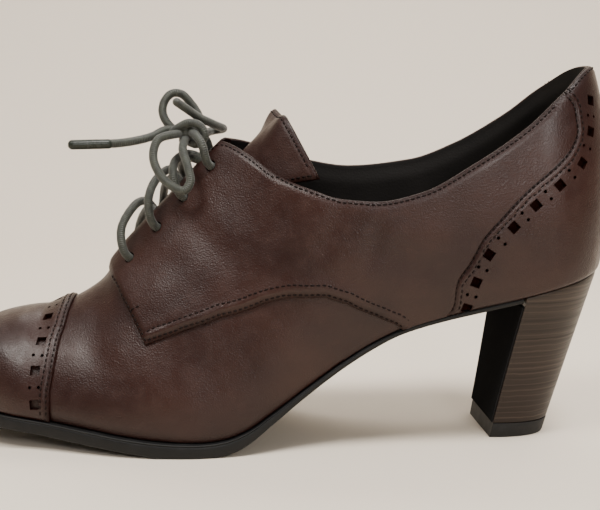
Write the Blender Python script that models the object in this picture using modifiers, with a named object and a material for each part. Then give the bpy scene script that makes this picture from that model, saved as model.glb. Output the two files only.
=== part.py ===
"""A woman's left lace-up shoe with a capped toe and a stacked block heel, as separate pieces.

The upper is a hollow leather form drawn through upright sections around the foot. Cap, quarters
and counter are cut from that same form, a little outside it. Sole, insole and heel follow its
lower edge, which rises from the ball of the foot to the heel seat.
"""
import math

import bmesh
import bpy
import numpy as np
from mathutils import Vector

# Places are in millimetres as s, y and z: s runs forward from the back of the heel, y from the
# outer side of the foot (-) to its inner side (+), and z up from the floor.
MM = 0.001
MIDDLE_S = 117.7
MIDDLE_Y = 0.45

# Leather, lining and sole thicknesses, and the space left between pieces
WALL = 1.6
OVERLAY = 1.2
COUNTER = 1.4
TONGUE = 2.2
INSOLE = 2.0
GAP = 0.3
OVERLAY_GAP = 0.6
WELD = 0.01

# Points up the edge that counter and quarters share
EDGE_STEPS = 10

# Steps along a quarter's collar, and the share of its width where the facing's corner comes
COLLAR_STEPS = 30
FACING_COLUMN = 0.66

# Overlays start a little above the foot edge, as a share of the way up the wall
OVERLAY_FOOT = 0.012

# Lace and eyelets
LACE = 3.0
EYELET = 4.0
CUTTER_DEPTH = 12.0
AGLET = 3.4
CORD_STEP = 4.8

# Upright sections of the upper, from the back of the heel round one side to the tip of the toe.
# Each stands in a plane through a pivot on the centre line, turned from straight across the shoe
# (0) towards the back (-90) or the front (90). Its outline is one cubic curve from the foot edge
# to the top, with a handle over the foot edge and a handle at the shoulder.
# turn, pivot s, centre y, foot, bulge, rise, shoulder, shoulder z, top, top z
SECTIONS = (
    (-90, 27, -0.2, 20.5, 5.5, 22, 25.2, 114, 12.6, 142),
    (-60, 27, -0.2, 21.8, 5.0, 22, 23.4, 115, 12.2, 142),
    (-30, 27, -0.2, 24.2, 4.0, 21, 21.6, 116, 11.4, 142),
    (0, 27, -0.2, 25.4, 3.5, 20, 21.2, 116, 11.0, 142),
    (0, 45, -1.0, 25.6, 4.5, 18, 24.2, 114, 14.0, 142),
    (0, 65, -2.4, 25.0, 5.5, 16, 26.2, 112, 15.0, 142),
    (0, 85, -3.6, 25.2, 5.0, 18, 27.0, 112, 13.0, 140),
    (0, 105, -3.8, 27.5, 4.5, 22, 24.0, 112, 8.0, 134),
    (0, 115, -3.2, 30.2, 4.0, 25, 18.5, 110, 3.0, 127),
    (0, 125, -2.6, 33.0, 3.5, 25, 13.0, 106, 0, 117),
    (0, 145, -1.0, 37.6, 3.0, 25, 10.0, 89, 0, 98),
    (0, 160, 0.5, 38.6, 3.0, 25, 9.5, 75, 0, 83),
    (0, 171, 1.4, 37.8, 3.0, 20, 9.5, 64, 0, 70),
    (0, 178.5, 2.0, 36.2, 3.0, 15, 13.0, 54.8, 0, 54.8),
    (0, 188, 2.3, 33.6, 3.0, 15, 15.0, 48.6, 0, 48.6),
    (0, 200, 2.5, 30.0, 2.8, 14, 16.5, 42.8, 0, 42.8),
    (25, 200, 2.5, 29.6, 2.5, 16, 19.0, 42.0, 0, 42.8),
    (50, 200, 2.5, 30.4, 2.2, 19, 23.0, 41.0, 0, 42.8),
    (70, 200, 2.5, 31.6, 2.0, 20, 26.0, 40.4, 0, 42.8),
    (90, 200, 2.5, 32.0, 1.8, 21, 27.0, 40.2, 0, 42.8),
)
TURN, PIVOT, CENTRE, FOOT = range(4)
ROUNDING = 2.6
GIRTH_STEPS = 601

# Side view of the lower edge of the upper and of the underside of the sole: s, z
FEATHER = (
    (5, 59.8), (20, 55.8), (33, 52.4), (50, 48.7), (60, 46.4), (72, 43.0), (84, 37.5), (94, 31.5),
    (107.6, 22.0), (118, 14.5), (128, 8.0), (135, 5.6), (142, 4.9), (150, 5.0), (160, 5.7),
    (180, 8.0), (200, 10.4), (210, 11.6), (220, 12.6), (232, 13.0),
)
UNDERSIDE = (
    (33, 50.4), (50, 46.7), (60, 44.4), (72, 41.0), (77, 39.1), (84, 35.4), (94, 29.2),
    (107.6, 19.2), (118, 10.9), (128, 3.2), (133, 1.0), (139, 0.0), (157, 0.0), (162, 0.7),
    (170, 1.7), (190, 4.1), (210, 6.6), (220, 7.6), (232, 8.4),
)
# How far the sole stands out past the foot edge: s, width
SOLE_EDGE = ((30, 0.2), (80, 0.3), (120, 1.2), (150, 1.8), (200, 2.2), (232, 2.2))
SOLE_ROUND = 0.7
SOLE_BACK = 1.0

# Side view of the collar on the two sides, up to the top corner of the facings: s, z
COLLAR_LATERAL = (
    (6, 129.5), (10, 129.3), (21.7, 120.2), (33, 110.0), (52.8, 97.0), (69, 88.5), (84, 85.5),
    (96, 86.3), (105.6, 89.2), (116, 92.9), (127, 99.7), (132, 102.2), (136, 103.4), (142, 104.0),
)
COLLAR_MEDIAL = (
    (6, 129.5), (10, 129.3), (21.7, 122.0), (35, 111.5), (53, 100.8), (69, 95.0), (91, 92.8),
    (110, 96.0), (122, 100.5), (132, 103.6), (142, 105.0),
)
# Half the space between the facings, and between the edges of the throat under them: s, width
FACING_SPACE = ((142, 2.0), (160, 3.5), (174, 4.0), (178, 4.0))
THROAT_SPACE = ((142, 5.0), (160, 6.5), (171, 6.5), (174, 4.5), (175.5, 0.0))
FACING_TOP = 142
FACING_FOOT = 178

# The foot of each facing stands off the vamp: how far, and over which s and z it rises
FACING_LIFT = 1.8
FACING_LIFT_S = (160, 176)
FACING_LIFT_Z = (40, 54)

# Side view of the edges of the overlays: s, z
COUNTER_EDGE = (
    (61.5, 46.2), (59, 50.5), (58, 57.8), (53.8, 64.9), (49.7, 72.5), (42.4, 80.4), (34.2, 88.9),
    (24.8, 96.7), (19.7, 102.7), (17.6, 108.8), (18.6, 115.1), (21.7, 120.0),
)
QUARTER_SEAM = (
    (77.6, 44.2), (83.8, 46.8), (94.2, 51.4), (101.4, 53.7), (111.8, 53.6), (122, 51.3),
    (135.6, 46.8), (149, 41.6), (161.5, 36.8),
)
QUARTER_SOLE_END = 75.0
QUARTER_FRONT = ((161.5, 36.8), (166.6, 44.6), (170.8, 49.7), (175.0, 54.0), (178.0, 56.5))
CAP_EDGE = (
    (194.6, 9.9), (194.6, 20.0), (193.5, 26.6), (192.5, 35.9), (191.5, 40.0), (190.4, 46.8),
)
EYELETS = ((167.7, 62.6), (158.4, 73.5), (149.0, 84.0), (139.7, 94.9))

# Tongue: the middle line in side view (s, z), and its half width from the base to the top
TONGUE_LINE = (
    (173.5, 59.0), (168, 63.5), (160, 71.5), (150, 81.5), (140, 91.0), (130, 100.0), (117, 113.0),
)
TONGUE_WIDTH = ((0.0, 8.0), (0.4, 11.0), (0.8, 16.0), (1.0, 18.5))
TONGUE_RIDGE = 6.0
TONGUE_FALL = 1.5

# Heel: the breast lies 0.1 forward for each unit towards the inner side
HEEL_TOP_S = 32.8
HEEL_FOOT_S = 42.6
HEEL_FOOT_DEPTH = 20.6
HEEL_FOOT_HALF = 15.0
HEEL_SKEW = 3.0
HEEL_SEAT_EDGE = 1.5
HEEL_WAIST = 1.3
LIFT = 5.3
BREAST = 1.0
BREAST_BELOW_SEAT = 3.2
BREAST_INSET = 0.4

# Routes of the lace as points of s, y, z: the crossings and the knot's strands start in the outer
# eyelets, and the inner ones mirror them; loops and ends start or end at the knot's face
CROSSINGS = (
    ((170.9, -12.0, 72.9), (168.6, -8.0, 78.4), (165.6, -3.0, 81.6), (163.2, 1.6, 81.2)),
    ((161.2, -12.6, 83.0), (160.2, -9.0, 87.8), (157.4, -3.6, 91.6), (154.6, 1.6, 92.6)),
    ((152.6, -11.6, 92.2), (152.4, -7.2, 96.2), (149.8, -2.6, 98.2), (147.0, 1.6, 98.0)),
)
KNOT = (149.0, -1.5, 106.4)
KNOT_SIZE = (5.6, 5.0, 4.2)
KNOT_STRAND = ((143.2, -11.8, 103.2), (146.0, -7.5, 106.4), (149.0, -1.5, 106.4))
LOOP_LATERAL = (
    (153.4, -8.2, 106.2), (158.1, -12.0, 104.8), (159.6, -14.8, 99.1), (157.4, -16.8, 93.6),
    (153.0, -18.4, 89.4), (148.6, -19.2, 87.9), (146.8, -18.6, 90.4), (147.6, -16.2, 95.4),
    (149.9, -10.4, 101.6),
)
LOOP_MEDIAL = (
    (154.0, 2.1, 111.5), (156.6, 3.4, 113.6), (158.0, 4.0, 116.8), (156.6, 4.6, 119.4),
    (153.9, 5.4, 120.5), (150.8, 6.4, 119.2), (147.9, 6.8, 115.8), (146.2, 3.5, 112.0),
)
END_LATERAL = (
    (155.8, -3.2, 107.6), (160.4, -6.6, 105.6), (165.4, -10.8, 104.4), (170.4, -14.2, 103.8),
    (174.0, -16.0, 103.6),
)
AGLET_ROUTE = ((174.6, -16.3, 103.6), (186.0, -20.0, 103.6))
END_MEDIAL = (
    (141.8, 1.0, 107.2), (138.2, 1.6, 108.4), (137.8, 0.4, 110.6), (141.0, -0.4, 111.8),
    (144.8, -1.2, 113.2), (148.6, -2.4, 115.0), (152.3, -4.0, 117.2),
)
LACE_IN_EYELET = 1.5
LACE_OVER_EYELET = 4.6

# Colours as red, green and blue, then roughness
LEATHER = (0.052, 0.026, 0.019, 0.42)
LINING = (0.012, 0.009, 0.008, 0.85)
SOLE_BLACK = (0.008, 0.008, 0.008, 0.5)
HEEL_BROWN = (0.085, 0.062, 0.050, 0.45)
LACE_GREEN = (0.040, 0.038, 0.028, 0.6)


def through(table, at):
    """A smooth curve through a table's points that never passes beyond them, read at some places."""
    x, y = np.array(table, float).T
    width = np.diff(x)
    slope = np.diff(y) / width
    same = slope[:-1] * slope[1:] > 0
    mean = 2 * slope[:-1] * slope[1:] / np.where(same, slope[:-1] + slope[1:], 1.0)
    tangent = np.concatenate([[slope[0]], np.where(same, mean, 0.0), [slope[-1]]])
    at = np.clip(at, x[0], x[-1])
    i = np.clip(np.searchsorted(x, at, side="right") - 1, 0, len(width) - 1)
    u = (at - x[i]) / width[i]
    return (
        y[i] * (1 + 2 * u) * (1 - u) ** 2
        + tangent[i] * width[i] * u * (1 - u) ** 2
        + y[i + 1] * u * u * (3 - 2 * u)
        + tangent[i + 1] * width[i] * u * u * (u - 1)
    )


def ease(value, start, end):
    """A soft step from 0 at start to 1 at end."""
    u = np.clip((value - start) / (end - start), 0, 1)
    return u * u * (3 - 2 * u)


def smooth_sections():
    """The section table over the girth of one side in fine steps, with its corners rounded."""
    rows = np.array(SECTIONS, float)
    angle = np.radians(rows[:, TURN])
    edge = np.stack([rows[:, PIVOT] + rows[:, FOOT] * np.sin(angle), rows[:, FOOT] * np.cos(angle)], 1)
    girth = np.concatenate([[0], np.cumsum(np.linalg.norm(np.diff(edge, axis=0), axis=1))])
    fine = np.linspace(0, girth[-1], GIRTH_STEPS)
    reach = int(4 * ROUNDING / fine[1])
    kernel = np.exp(-0.5 * (np.arange(-reach, reach + 1) * fine[1] / ROUNDING) ** 2)
    kernel /= kernel.sum()
    columns = []
    for i in range(rows.shape[1]):
        column = np.interp(fine, girth, rows[:, i])
        mirrored = "odd" if i == TURN else "even"
        padded = np.pad(column, reach, mode="reflect", reflect_type=mirrored)
        columns.append(np.convolve(padded, kernel, mode="valid"))
    return fine, columns


GIRTH, COLUMNS = smooth_sections()
FOOT_S = COLUMNS[PIVOT] + COLUMNS[FOOT] * np.sin(np.radians(COLUMNS[TURN]))
TIP = GIRTH[-1]


def girth_at(s):
    """The girth at which the foot edge is at s."""
    return np.interp(s, FOOT_S, GIRTH)


def surface(girth, t, side, out=0.0):
    """Points of the upper's outer face at a girth from the heel and a share t of the way up."""
    girth, t = np.broadcast_arrays(np.asarray(girth, float), np.asarray(t, float))
    turn, pivot, centre, foot, bulge, rise, shoulder, shoulder_z, top, top_z = (
        np.interp(girth, GIRTH, column) for column in COLUMNS
    )
    angle = np.radians(turn)
    foot_z = through(FEATHER, pivot + foot * np.sin(angle))
    weights = ((1 - t) ** 3, 3 * t * (1 - t) ** 2, 3 * t * t * (1 - t), t**3)
    r = out + weights[0] * foot + weights[1] * (foot + bulge) + weights[2] * shoulder + weights[3] * top
    z = weights[0] * foot_z + weights[1] * (foot_z + rise) + weights[2] * shoulder_z + weights[3] * top_z
    return np.stack([pivot + r * np.sin(angle), centre + side * r * np.cos(angle), z], -1)


def centre_line(s):
    """The y of the shoe's curved centre line at s."""
    return np.interp(girth_at(s), GIRTH, COLUMNS[CENTRE])


def top_of(girth, side, space):
    """How far up each column reaches: to the collar, the edge beside the throat, or the top."""
    t = np.linspace(0, 1, 401)
    girth = np.atleast_1d(girth)
    at = surface(girth[:, None], t[None, :], side)
    collar = COLLAR_LATERAL if side < 0 else COLLAR_MEDIAL
    over = at[..., 2] - through(collar, at[..., 0])
    over = np.where(at[..., 0] < FACING_TOP + 4, over, -1.0)
    width = np.abs(at[..., 1] - np.interp(girth, GIRTH, COLUMNS[CENTRE])[:, None])
    beside = through(space, at[..., 0]) - width
    beside = np.where((at[..., 0] > FACING_TOP - 8) & (at[..., 0] < space[-1][0]), beside, -1.0)
    past = np.maximum(over, beside)
    first = np.argmax(past > 0, axis=1)
    rows = np.arange(len(girth))
    before = np.maximum(first - 1, 0)
    low, high = past[rows, before], past[rows, first]
    share = np.where(high - low > 1e-9, -low / np.where(high - low > 1e-9, high - low, 1), 0)
    found = (t[before] + share * (t[1] - t[0])).clip(0, 1)
    return np.where((past > 0).any(axis=1), found, 1.0)


def seen_at(table, side):
    """Girth and t of the points of the upper that a side view shows at each s and z."""
    girth = np.linspace(0, TIP, 700)
    t = np.linspace(0, 1, 301)
    at = surface(girth[:, None], t[None, :], side)
    places = []
    for s, z in table:
        i, j = np.unravel_index(np.argmin((at[..., 0] - s) ** 2 + (at[..., 2] - z) ** 2), at.shape[:2])
        places.append((girth[i], t[j]))
    return np.array(places)


def along(points, share):
    """Points at some shares of the length of a run of points."""
    steps = np.linalg.norm(np.diff(points, axis=0), axis=1)
    length = np.concatenate([[0], np.cumsum(steps)]) / steps.sum()
    return np.stack([np.interp(share, length, points[:, i]) for i in range(points.shape[1])], -1)


def to_world(points):
    """Metres in the shoe's own frame, toe towards -X and outer side towards -Y."""
    points = np.asarray(points, float)
    x = MIDDLE_S - points[..., 0]
    y = points[..., 1] - MIDDLE_Y
    return np.stack([x, y, points[..., 2]], -1) * MM


def collection(name):
    made = bpy.data.collections.new(name)
    bpy.context.scene.collection.children.link(made)
    return made


def material(name, look):
    made = bpy.data.materials.new(name)
    made.use_nodes = True
    shader = made.node_tree.nodes["Principled BSDF"]
    shader.inputs["Base Color"].default_value = (*look[:3], 1)
    shader.inputs["Roughness"].default_value = look[3]
    shader.inputs["Metallic"].default_value = 0
    made.diffuse_color = (*look[:3], 1)
    return made


def place(mesh_or_bmesh, name, look):
    """A named object of the shoe with its own material."""
    if isinstance(mesh_or_bmesh, bmesh.types.BMesh):
        mesh = bpy.data.meshes.new(name)
        mesh_or_bmesh.to_mesh(mesh)
        mesh_or_bmesh.free()
    else:
        mesh = mesh_or_bmesh
    obj = bpy.data.objects.new(name, mesh)
    SHOE.objects.link(obj)
    mesh.materials.clear()
    mesh.materials.append(material(name, look))
    mesh.shade_smooth()
    mesh.set_sharp_from_angle(angle=math.radians(40))
    return obj


def sheet(name, grids, look, lift, thickness, outward):
    """A wall over grids of points, one for each side: rows run up and columns run forward."""
    bm = bmesh.new()
    for points, side in grids:
        rows = [[bm.verts.new(co) for co in row] for row in to_world(points)]
        for low, high in zip(rows, rows[1:]):
            for j in range(len(low) - 1):
                quad = (low[j], low[j + 1], high[j + 1], high[j])
                bm.faces.new(quad if side > 0 else quad[::-1])
    bmesh.ops.remove_doubles(bm, verts=bm.verts, dist=WELD * MM)
    bmesh.ops.dissolve_degenerate(bm, edges=bm.edges, dist=WELD * MM)
    bm.normal_update()
    for vert in bm.verts:
        vert.co += vert.normal * lift * MM
    obj = place(bm, name, look)
    wall = obj.modifiers.new("Wall", "SOLIDIFY")
    wall.thickness = thickness * MM
    wall.offset = 1 if outward else -1
    return obj


def loft(name, lateral, medial, look):
    """A solid between two runs of points, on each of its levels, from the lowest to the highest."""
    ring = to_world(np.concatenate([lateral, medial[:, ::-1]], axis=1))
    count = ring.shape[1]
    bm = bmesh.new()
    levels = [[bm.verts.new(co) for co in level] for level in ring]
    for low, high in zip(levels, levels[1:]):
        for j in range(count):
            k = (j + 1) % count
            bm.faces.new((low[j], low[k], high[k], high[j]))
    for level in (levels[0], levels[-1]):
        for j in range(count // 2 - 1):
            bm.faces.new((level[j], level[j + 1], level[count - 2 - j], level[count - 1 - j]))
    bmesh.ops.remove_doubles(bm, verts=bm.verts, dist=WELD * MM)
    bmesh.ops.recalc_face_normals(bm, faces=bm.faces)
    return place(bm, name, look)


def smooth_route(points, step=CORD_STEP):
    """Even points on a smooth curve through the route's own points."""
    points = np.array(points, float)
    steps = np.linalg.norm(np.diff(points, axis=0), axis=1)
    length = np.concatenate([[0], np.cumsum(steps)])
    tangent = np.gradient(points, length, axis=0)
    at = np.linspace(0, length[-1], max(3, round(length[-1] / step) + 1))
    i = np.clip(np.searchsorted(length, at, side="right") - 1, 0, len(steps) - 1)
    width = steps[i][:, None]
    u = ((at - length[i]) / steps[i])[:, None]
    return (
        points[i] * (1 + 2 * u) * (1 - u) ** 2
        + tangent[i] * width * u * (1 - u) ** 2
        + points[i + 1] * u * u * (3 - 2 * u)
        + tangent[i + 1] * width * u * u * (u - 1)
    )


def tube(name, points, diameter, step=CORD_STEP):
    """A round cord along a route."""
    route = to_world(smooth_route(points, step))
    curve = bpy.data.curves.new(name, "CURVE")
    curve.dimensions = "3D"
    curve.bevel_depth = diameter / 2 * MM
    curve.bevel_resolution = 2
    curve.use_fill_caps = True
    spline = curve.splines.new("POLY")
    spline.points.add(len(route) - 1)
    spline.points.foreach_set("co", np.column_stack([route, np.ones(len(route))]).ravel())
    obj = bpy.data.objects.new(name, curve)
    SHOE.objects.link(obj)
    curve.materials.append(material(name, LACE_GREEN))
    return obj


def as_mesh(obj):
    """The curve's mesh as an object of the same name, with its caps welded."""
    name = obj.name
    graph = bpy.context.evaluated_depsgraph_get()
    mesh = bpy.data.meshes.new_from_object(obj.evaluated_get(graph))
    bpy.data.objects.remove(obj)
    bm = bmesh.new()
    bm.from_mesh(mesh)
    bmesh.ops.remove_doubles(bm, verts=bm.verts, dist=1e-6)
    return place(bm, name, LACE_GREEN)


def from_eyelet(row, route):
    """The route with its start on the axis of an outer eyelet, inside the facing and over it."""
    at, out = eyelet_axes(-1)[row]
    return np.vstack([at + out * LACE_IN_EYELET, at + out * LACE_OVER_EYELET, route])


def at_knot(towards):
    """The place just off the knot's face on the way to a point."""
    away = np.subtract(towards, KNOT)
    face = away / np.linalg.norm(away / np.array(KNOT_SIZE))
    return KNOT + face + away / np.linalg.norm(away) * GAP


def mirrored(points):
    """The same route from the inner side of the shoe."""
    points = np.array(points, float)
    points[:, 1] = 2 * centre_line(points[:, 0]) - points[:, 1]
    return points


def join(obj, *others):
    """Join other solids to one, which become hidden helpers."""
    for other in others:
        union = obj.modifiers.new("Join " + other.name, "BOOLEAN")
        union.operation = "UNION"
        union.object = other
        hide(other)


def hide(obj):
    """Move a helper out of the shoe's collection."""
    for holder in obj.users_collection:
        holder.objects.unlink(obj)
    HELPERS.objects.link(obj)
    obj.hide_render = True
    obj.display_type = "WIRE"


def eyelet_axes(side):
    """The place of each eyelet on the upper's face, and the direction straight out of it."""
    places = seen_at(EYELETS, -1)
    girth, t = places[:, 0], places[:, 1]
    at = surface(girth, t, side)
    out = np.cross(surface(girth + 1, t, side) - at, surface(girth, t + 0.02, side) - at)
    out *= (side * np.sign(out[:, 1]) / np.linalg.norm(out, axis=1))[:, None]
    return list(zip(at, out))


def eyelet_cutters(side):
    """Cutters across the wall at each eyelet of one side, in a collection of their own."""
    cutters = bpy.data.collections.new("eyelets " + ("lateral" if side < 0 else "medial"))
    HELPERS.children.link(cutters)
    for at, out in eyelet_axes(side):
        bpy.ops.mesh.primitive_cylinder_add(
            vertices=10, radius=EYELET / 2 * MM, depth=CUTTER_DEPTH * MM, location=to_world(at)
        )
        cutter = bpy.context.object
        cutter.name = "eyelet_cutter"
        cutter.rotation_euler = Vector((-out[0], out[1], out[2])).to_track_quat("Z", "Y").to_euler()
        for holder in cutter.users_collection:
            holder.objects.unlink(cutter)
        cutters.objects.link(cutter)
        cutter.hide_render = True
        cutter.display_type = "WIRE"
    return cutters


def cut(obj, cutters):
    holes = obj.modifiers.new(cutters.name, "BOOLEAN")
    holes.operation = "DIFFERENCE"
    holes.operand_type = "COLLECTION"
    holes.collection = cutters
    holes.solver = "EXACT"


def upper_girths():
    """Girths of the upper's columns, closer together at the facing corner and the throat's end."""
    runs = (
        (0, girth_at(33), 10), (girth_at(33), girth_at(95), 6), (girth_at(95), girth_at(136), 8),
        (girth_at(136), girth_at(142), 2), (girth_at(142), girth_at(169), 5),
        (girth_at(169), girth_at(179), 7),
        (girth_at(179), girth_at(199), 4), (girth_at(199), TIP, 9),
    )
    starts = [np.linspace(low, high, steps, endpoint=False) for low, high, steps in runs]
    return np.concatenate(starts + [[TIP]])


def make_upper():
    """The hollow leather form with its lining, open at the collar, the throat and underneath."""
    girth = upper_girths()
    rows = np.linspace(0, 1, 10)[:, None]
    grids = []
    for side in (-1, 1):
        top = top_of(girth, side, THROAT_SPACE)
        grids.append((surface(girth[None, :], rows * top[None, :], side), side))
    return sheet("upper", grids, LEATHER, 0, WALL, False)


def make_toe_cap():
    """The cap over the toe, from its straight seam forward."""
    rows = np.linspace(OVERLAY_FOOT, 1, 9)[:, None]
    columns = np.linspace(0, 1, 11)[None, :]
    edge = seen_at(CAP_EDGE, -1)
    start = np.interp(rows, edge[:, 1], edge[:, 0])
    grids = [(surface(start + (TIP - start) * columns, rows, side), side) for side in (-1, 1)]
    sheet("toe_cap", grids, LEATHER, OVERLAY_GAP, OVERLAY, True)


def counter_edge(side):
    """Girth and t of even steps up the front edge of the counter, from the seat to the collar."""
    edge = seen_at(COUNTER_EDGE, side)
    edge[0, 1] = OVERLAY_FOOT
    edge[-1, 1] = top_of(edge[-1, 0], side, FACING_SPACE)[0]
    return along(edge, np.linspace(0, 1, EDGE_STEPS))


def make_counter():
    """The counter around the back of the heel, from the heel seat to the collar."""
    columns = np.linspace(0, 1, 13)[None, :] ** 1.3
    middle = np.linspace(OVERLAY_FOOT, 1, EDGE_STEPS)[:, None]
    grids = []
    for side in (-1, 1):
        edge = counter_edge(side)
        share = (edge[:, 1] / top_of(edge[:, 0], side, FACING_SPACE))[:, None]
        girth = edge[:, :1] * columns
        top = np.stack([top_of(row, side, FACING_SPACE) for row in girth])
        grids.append((surface(girth, (middle + (share - middle) * columns) * top, side), side))
    sheet("counter", grids, LEATHER, OVERLAY_GAP, COUNTER, True)


def make_quarter(name, side):
    """A quarter with its facing: a patch between the counter, the seam, the front edge and the collar."""
    left = counter_edge(side) + (2 * GAP, 0)
    seam = np.vstack([[[girth_at(QUARTER_SOLE_END), OVERLAY_FOOT]], seen_at(QUARTER_SEAM, side)])
    bottom = np.vstack([left[:1], seam])
    front = seen_at(QUARTER_FRONT, side)
    girths = np.concatenate([
        np.linspace(left[-1, 0], girth_at(FACING_TOP), COLLAR_STEPS, endpoint=False),
        np.linspace(girth_at(FACING_TOP), girth_at(FACING_FOOT), 20, endpoint=False),
    ])
    top = np.column_stack([girths, top_of(girths, side, FACING_SPACE)])
    top = np.vstack([top, front[-1:]])
    left[-1] = top[0]

    # The corner of the facing keeps its own column.
    across = np.concatenate([
        np.linspace(0, 0.34, 6, endpoint=False), np.linspace(0.34, FACING_COLUMN, 12, endpoint=False),
        np.linspace(FACING_COLUMN, 1, 9),
    ])
    steps = np.linalg.norm(np.diff(top, axis=0), axis=1)
    corner = steps[:COLLAR_STEPS].sum() / steps.sum()
    top_share = np.interp(across, (0, FACING_COLUMN, 1), (0, corner, 1))
    up = np.linspace(0, 1, EDGE_STEPS)
    low, high = along(bottom, across)[None], along(top, top_share)[None]
    left, right = left[:, None], along(front, up)[:, None]
    a, b = across[None, :, None], up[:, None, None]
    corners = (
        (1 - a) * (1 - b) * bottom[0] + a * (1 - b) * bottom[-1]
        + (1 - a) * b * top[0] + a * b * top[-1]
    )
    patch = (1 - b) * low + b * high + (1 - a) * left + a * right - corners
    grid = surface(patch[..., 0], np.clip(patch[..., 1], 0, 1), side)
    grid[..., 2] += FACING_LIFT * ease(grid[..., 0], *FACING_LIFT_S) * ease(grid[..., 2], *FACING_LIFT_Z)
    return sheet(name, [(grid, side)], LEATHER, OVERLAY_GAP, OVERLAY, True)


def make_tongue():
    """A long plate with a rounded ridge, standing free above the collar."""
    up = np.linspace(0, 1, 9)
    run = np.linspace(TONGUE_LINE[0][0], TONGUE_LINE[-1][0], 60)
    line = along(np.column_stack([run, through(TONGUE_LINE[::-1], run)]), up)
    half = through(TONGUE_WIDTH, up)
    across = np.linspace(-1, 1, 9)[:, None]
    width = across * half[None, :]
    fall = TONGUE_FALL * (np.hypot(width, TONGUE_RIDGE) - TONGUE_RIDGE)
    slope = np.gradient(line, axis=0)
    slope /= np.linalg.norm(slope, axis=1)[:, None]
    down = np.stack([-slope[:, 1], slope[:, 0]], 1)
    s = line[None, :, 0] + down[None, :, 0] * fall
    z = line[None, :, 1] + down[None, :, 1] * fall
    grid = np.stack([s, centre_line(s) + width, z], -1)
    sheet("tongue", [(grid, 1)], LEATHER, 0, TONGUE, False)


def edge_points(girth, side, out, height):
    """Points around the foot edge, moved out from it, at the heights given for their s."""
    at = surface(girth, 0, side, out)
    at[..., 2] = height
    return at


def make_outsole():
    """The sole from the heel breast to the toe, with its toe spring and raised waist."""
    back = girth_at(HEEL_TOP_S + SOLE_BACK)
    girth = np.concatenate([
        np.linspace(back, girth_at(128), 12, endpoint=False),
        np.linspace(girth_at(128), girth_at(162), 7, endpoint=False),
        np.linspace(girth_at(162), girth_at(200), 5, endpoint=False),
        np.linspace(girth_at(200), TIP, 9),
    ])
    runs = []
    for side in (-1, 1):
        skew = (side + 1) / 2 * HEEL_SKEW * np.clip(1 - (girth - back) / 20, 0, 1)
        at = girth + skew
        s = np.interp(at, GIRTH, FOOT_S)
        edge = through(SOLE_EDGE, s)
        top = through(FEATHER, s) - GAP
        bottom = through(UNDERSIDE, s)
        thick = top - bottom
        levels = (
            (edge - SOLE_ROUND, bottom), (edge, bottom + np.minimum(SOLE_ROUND, thick / 3)),
            (edge, top),
        )
        runs.append(np.stack([edge_points(at, side, out, z) for out, z in levels]))
    loft("outsole", *runs, SOLE_BLACK)


def make_insole():
    """The inner sole, just inside the wall of the upper."""
    girth = np.concatenate([
        np.linspace(0, girth_at(33), 6, endpoint=False),
        np.linspace(girth_at(33), girth_at(200), 16, endpoint=False), np.linspace(girth_at(200), TIP, 8),
    ])
    height = through(FEATHER, np.interp(girth, GIRTH, FOOT_S))
    runs = []
    inside = -(WALL + 2 * GAP)
    for side in (-1, 1):
        runs.append(np.stack([edge_points(girth, side, inside, height + up) for up in (0, INSOLE)]))
    loft("insole", *runs, LINING)


def heel_section(side, height, girth):
    """Heel outline points of one side at some heights, between the seat and the round foot."""
    seat = surface(girth, 0, side, HEEL_SEAT_EDGE)
    turn = np.linspace(0, math.pi / 2, len(girth))
    front = HEEL_FOOT_S + HEEL_SKEW * (side + 1) / 2 * np.cos(turn)
    foot_s = front - HEEL_FOOT_DEPTH * np.sin(turn) ** 0.8
    foot_y = centre_line(30) + side * HEEL_FOOT_HALF * np.cos(turn) ** 0.8
    share = height / (seat[:, 2] - GAP)
    s = foot_s + (seat[:, 0] - foot_s) * share
    y = foot_y + (seat[:, 1] - foot_y) * share**HEEL_WAIST
    return np.stack([s, y, height + 0 * s], -1)


def heel_girths(side):
    """Girths around the heel seat of one side, from the breast to the middle of the back."""
    start = girth_at(HEEL_TOP_S + HEEL_SKEW * (side + 1) / 2)
    return np.linspace(start, 0, 11)


def make_heel():
    """The stacked heel, its black breast cover and the lift that it stands on."""
    heel, lift, breast = [], [], []
    levels = np.linspace(0, 1, 7)
    for side in (-1, 1):
        girth = heel_girths(side)
        seat = surface(girth, 0, side)[:, 2] - GAP
        low = LIFT + GAP
        heel.append(np.stack([heel_section(side, low + (seat - low) * k, girth) for k in levels]))
        lift.append(np.stack([heel_section(side, z + 0 * seat, girth) for z in (0, LIFT)]))
        top = seat[0] - BREAST_BELOW_SEAT
        heights = low + (top - low) * levels
        corner = np.stack([heel_section(side, z + 0 * seat, girth)[0] for z in heights])
        corner[:, 1] -= side * BREAST_INSET
        breast.append(np.stack([corner + (step, 0, 0) for step in (GAP, GAP + BREAST)], 1))
    loft("heel", *heel, HEEL_BROWN)
    loft("top_lift", *lift, SOLE_BLACK)
    loft("heel_breast", *breast, SOLE_BLACK)


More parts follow.
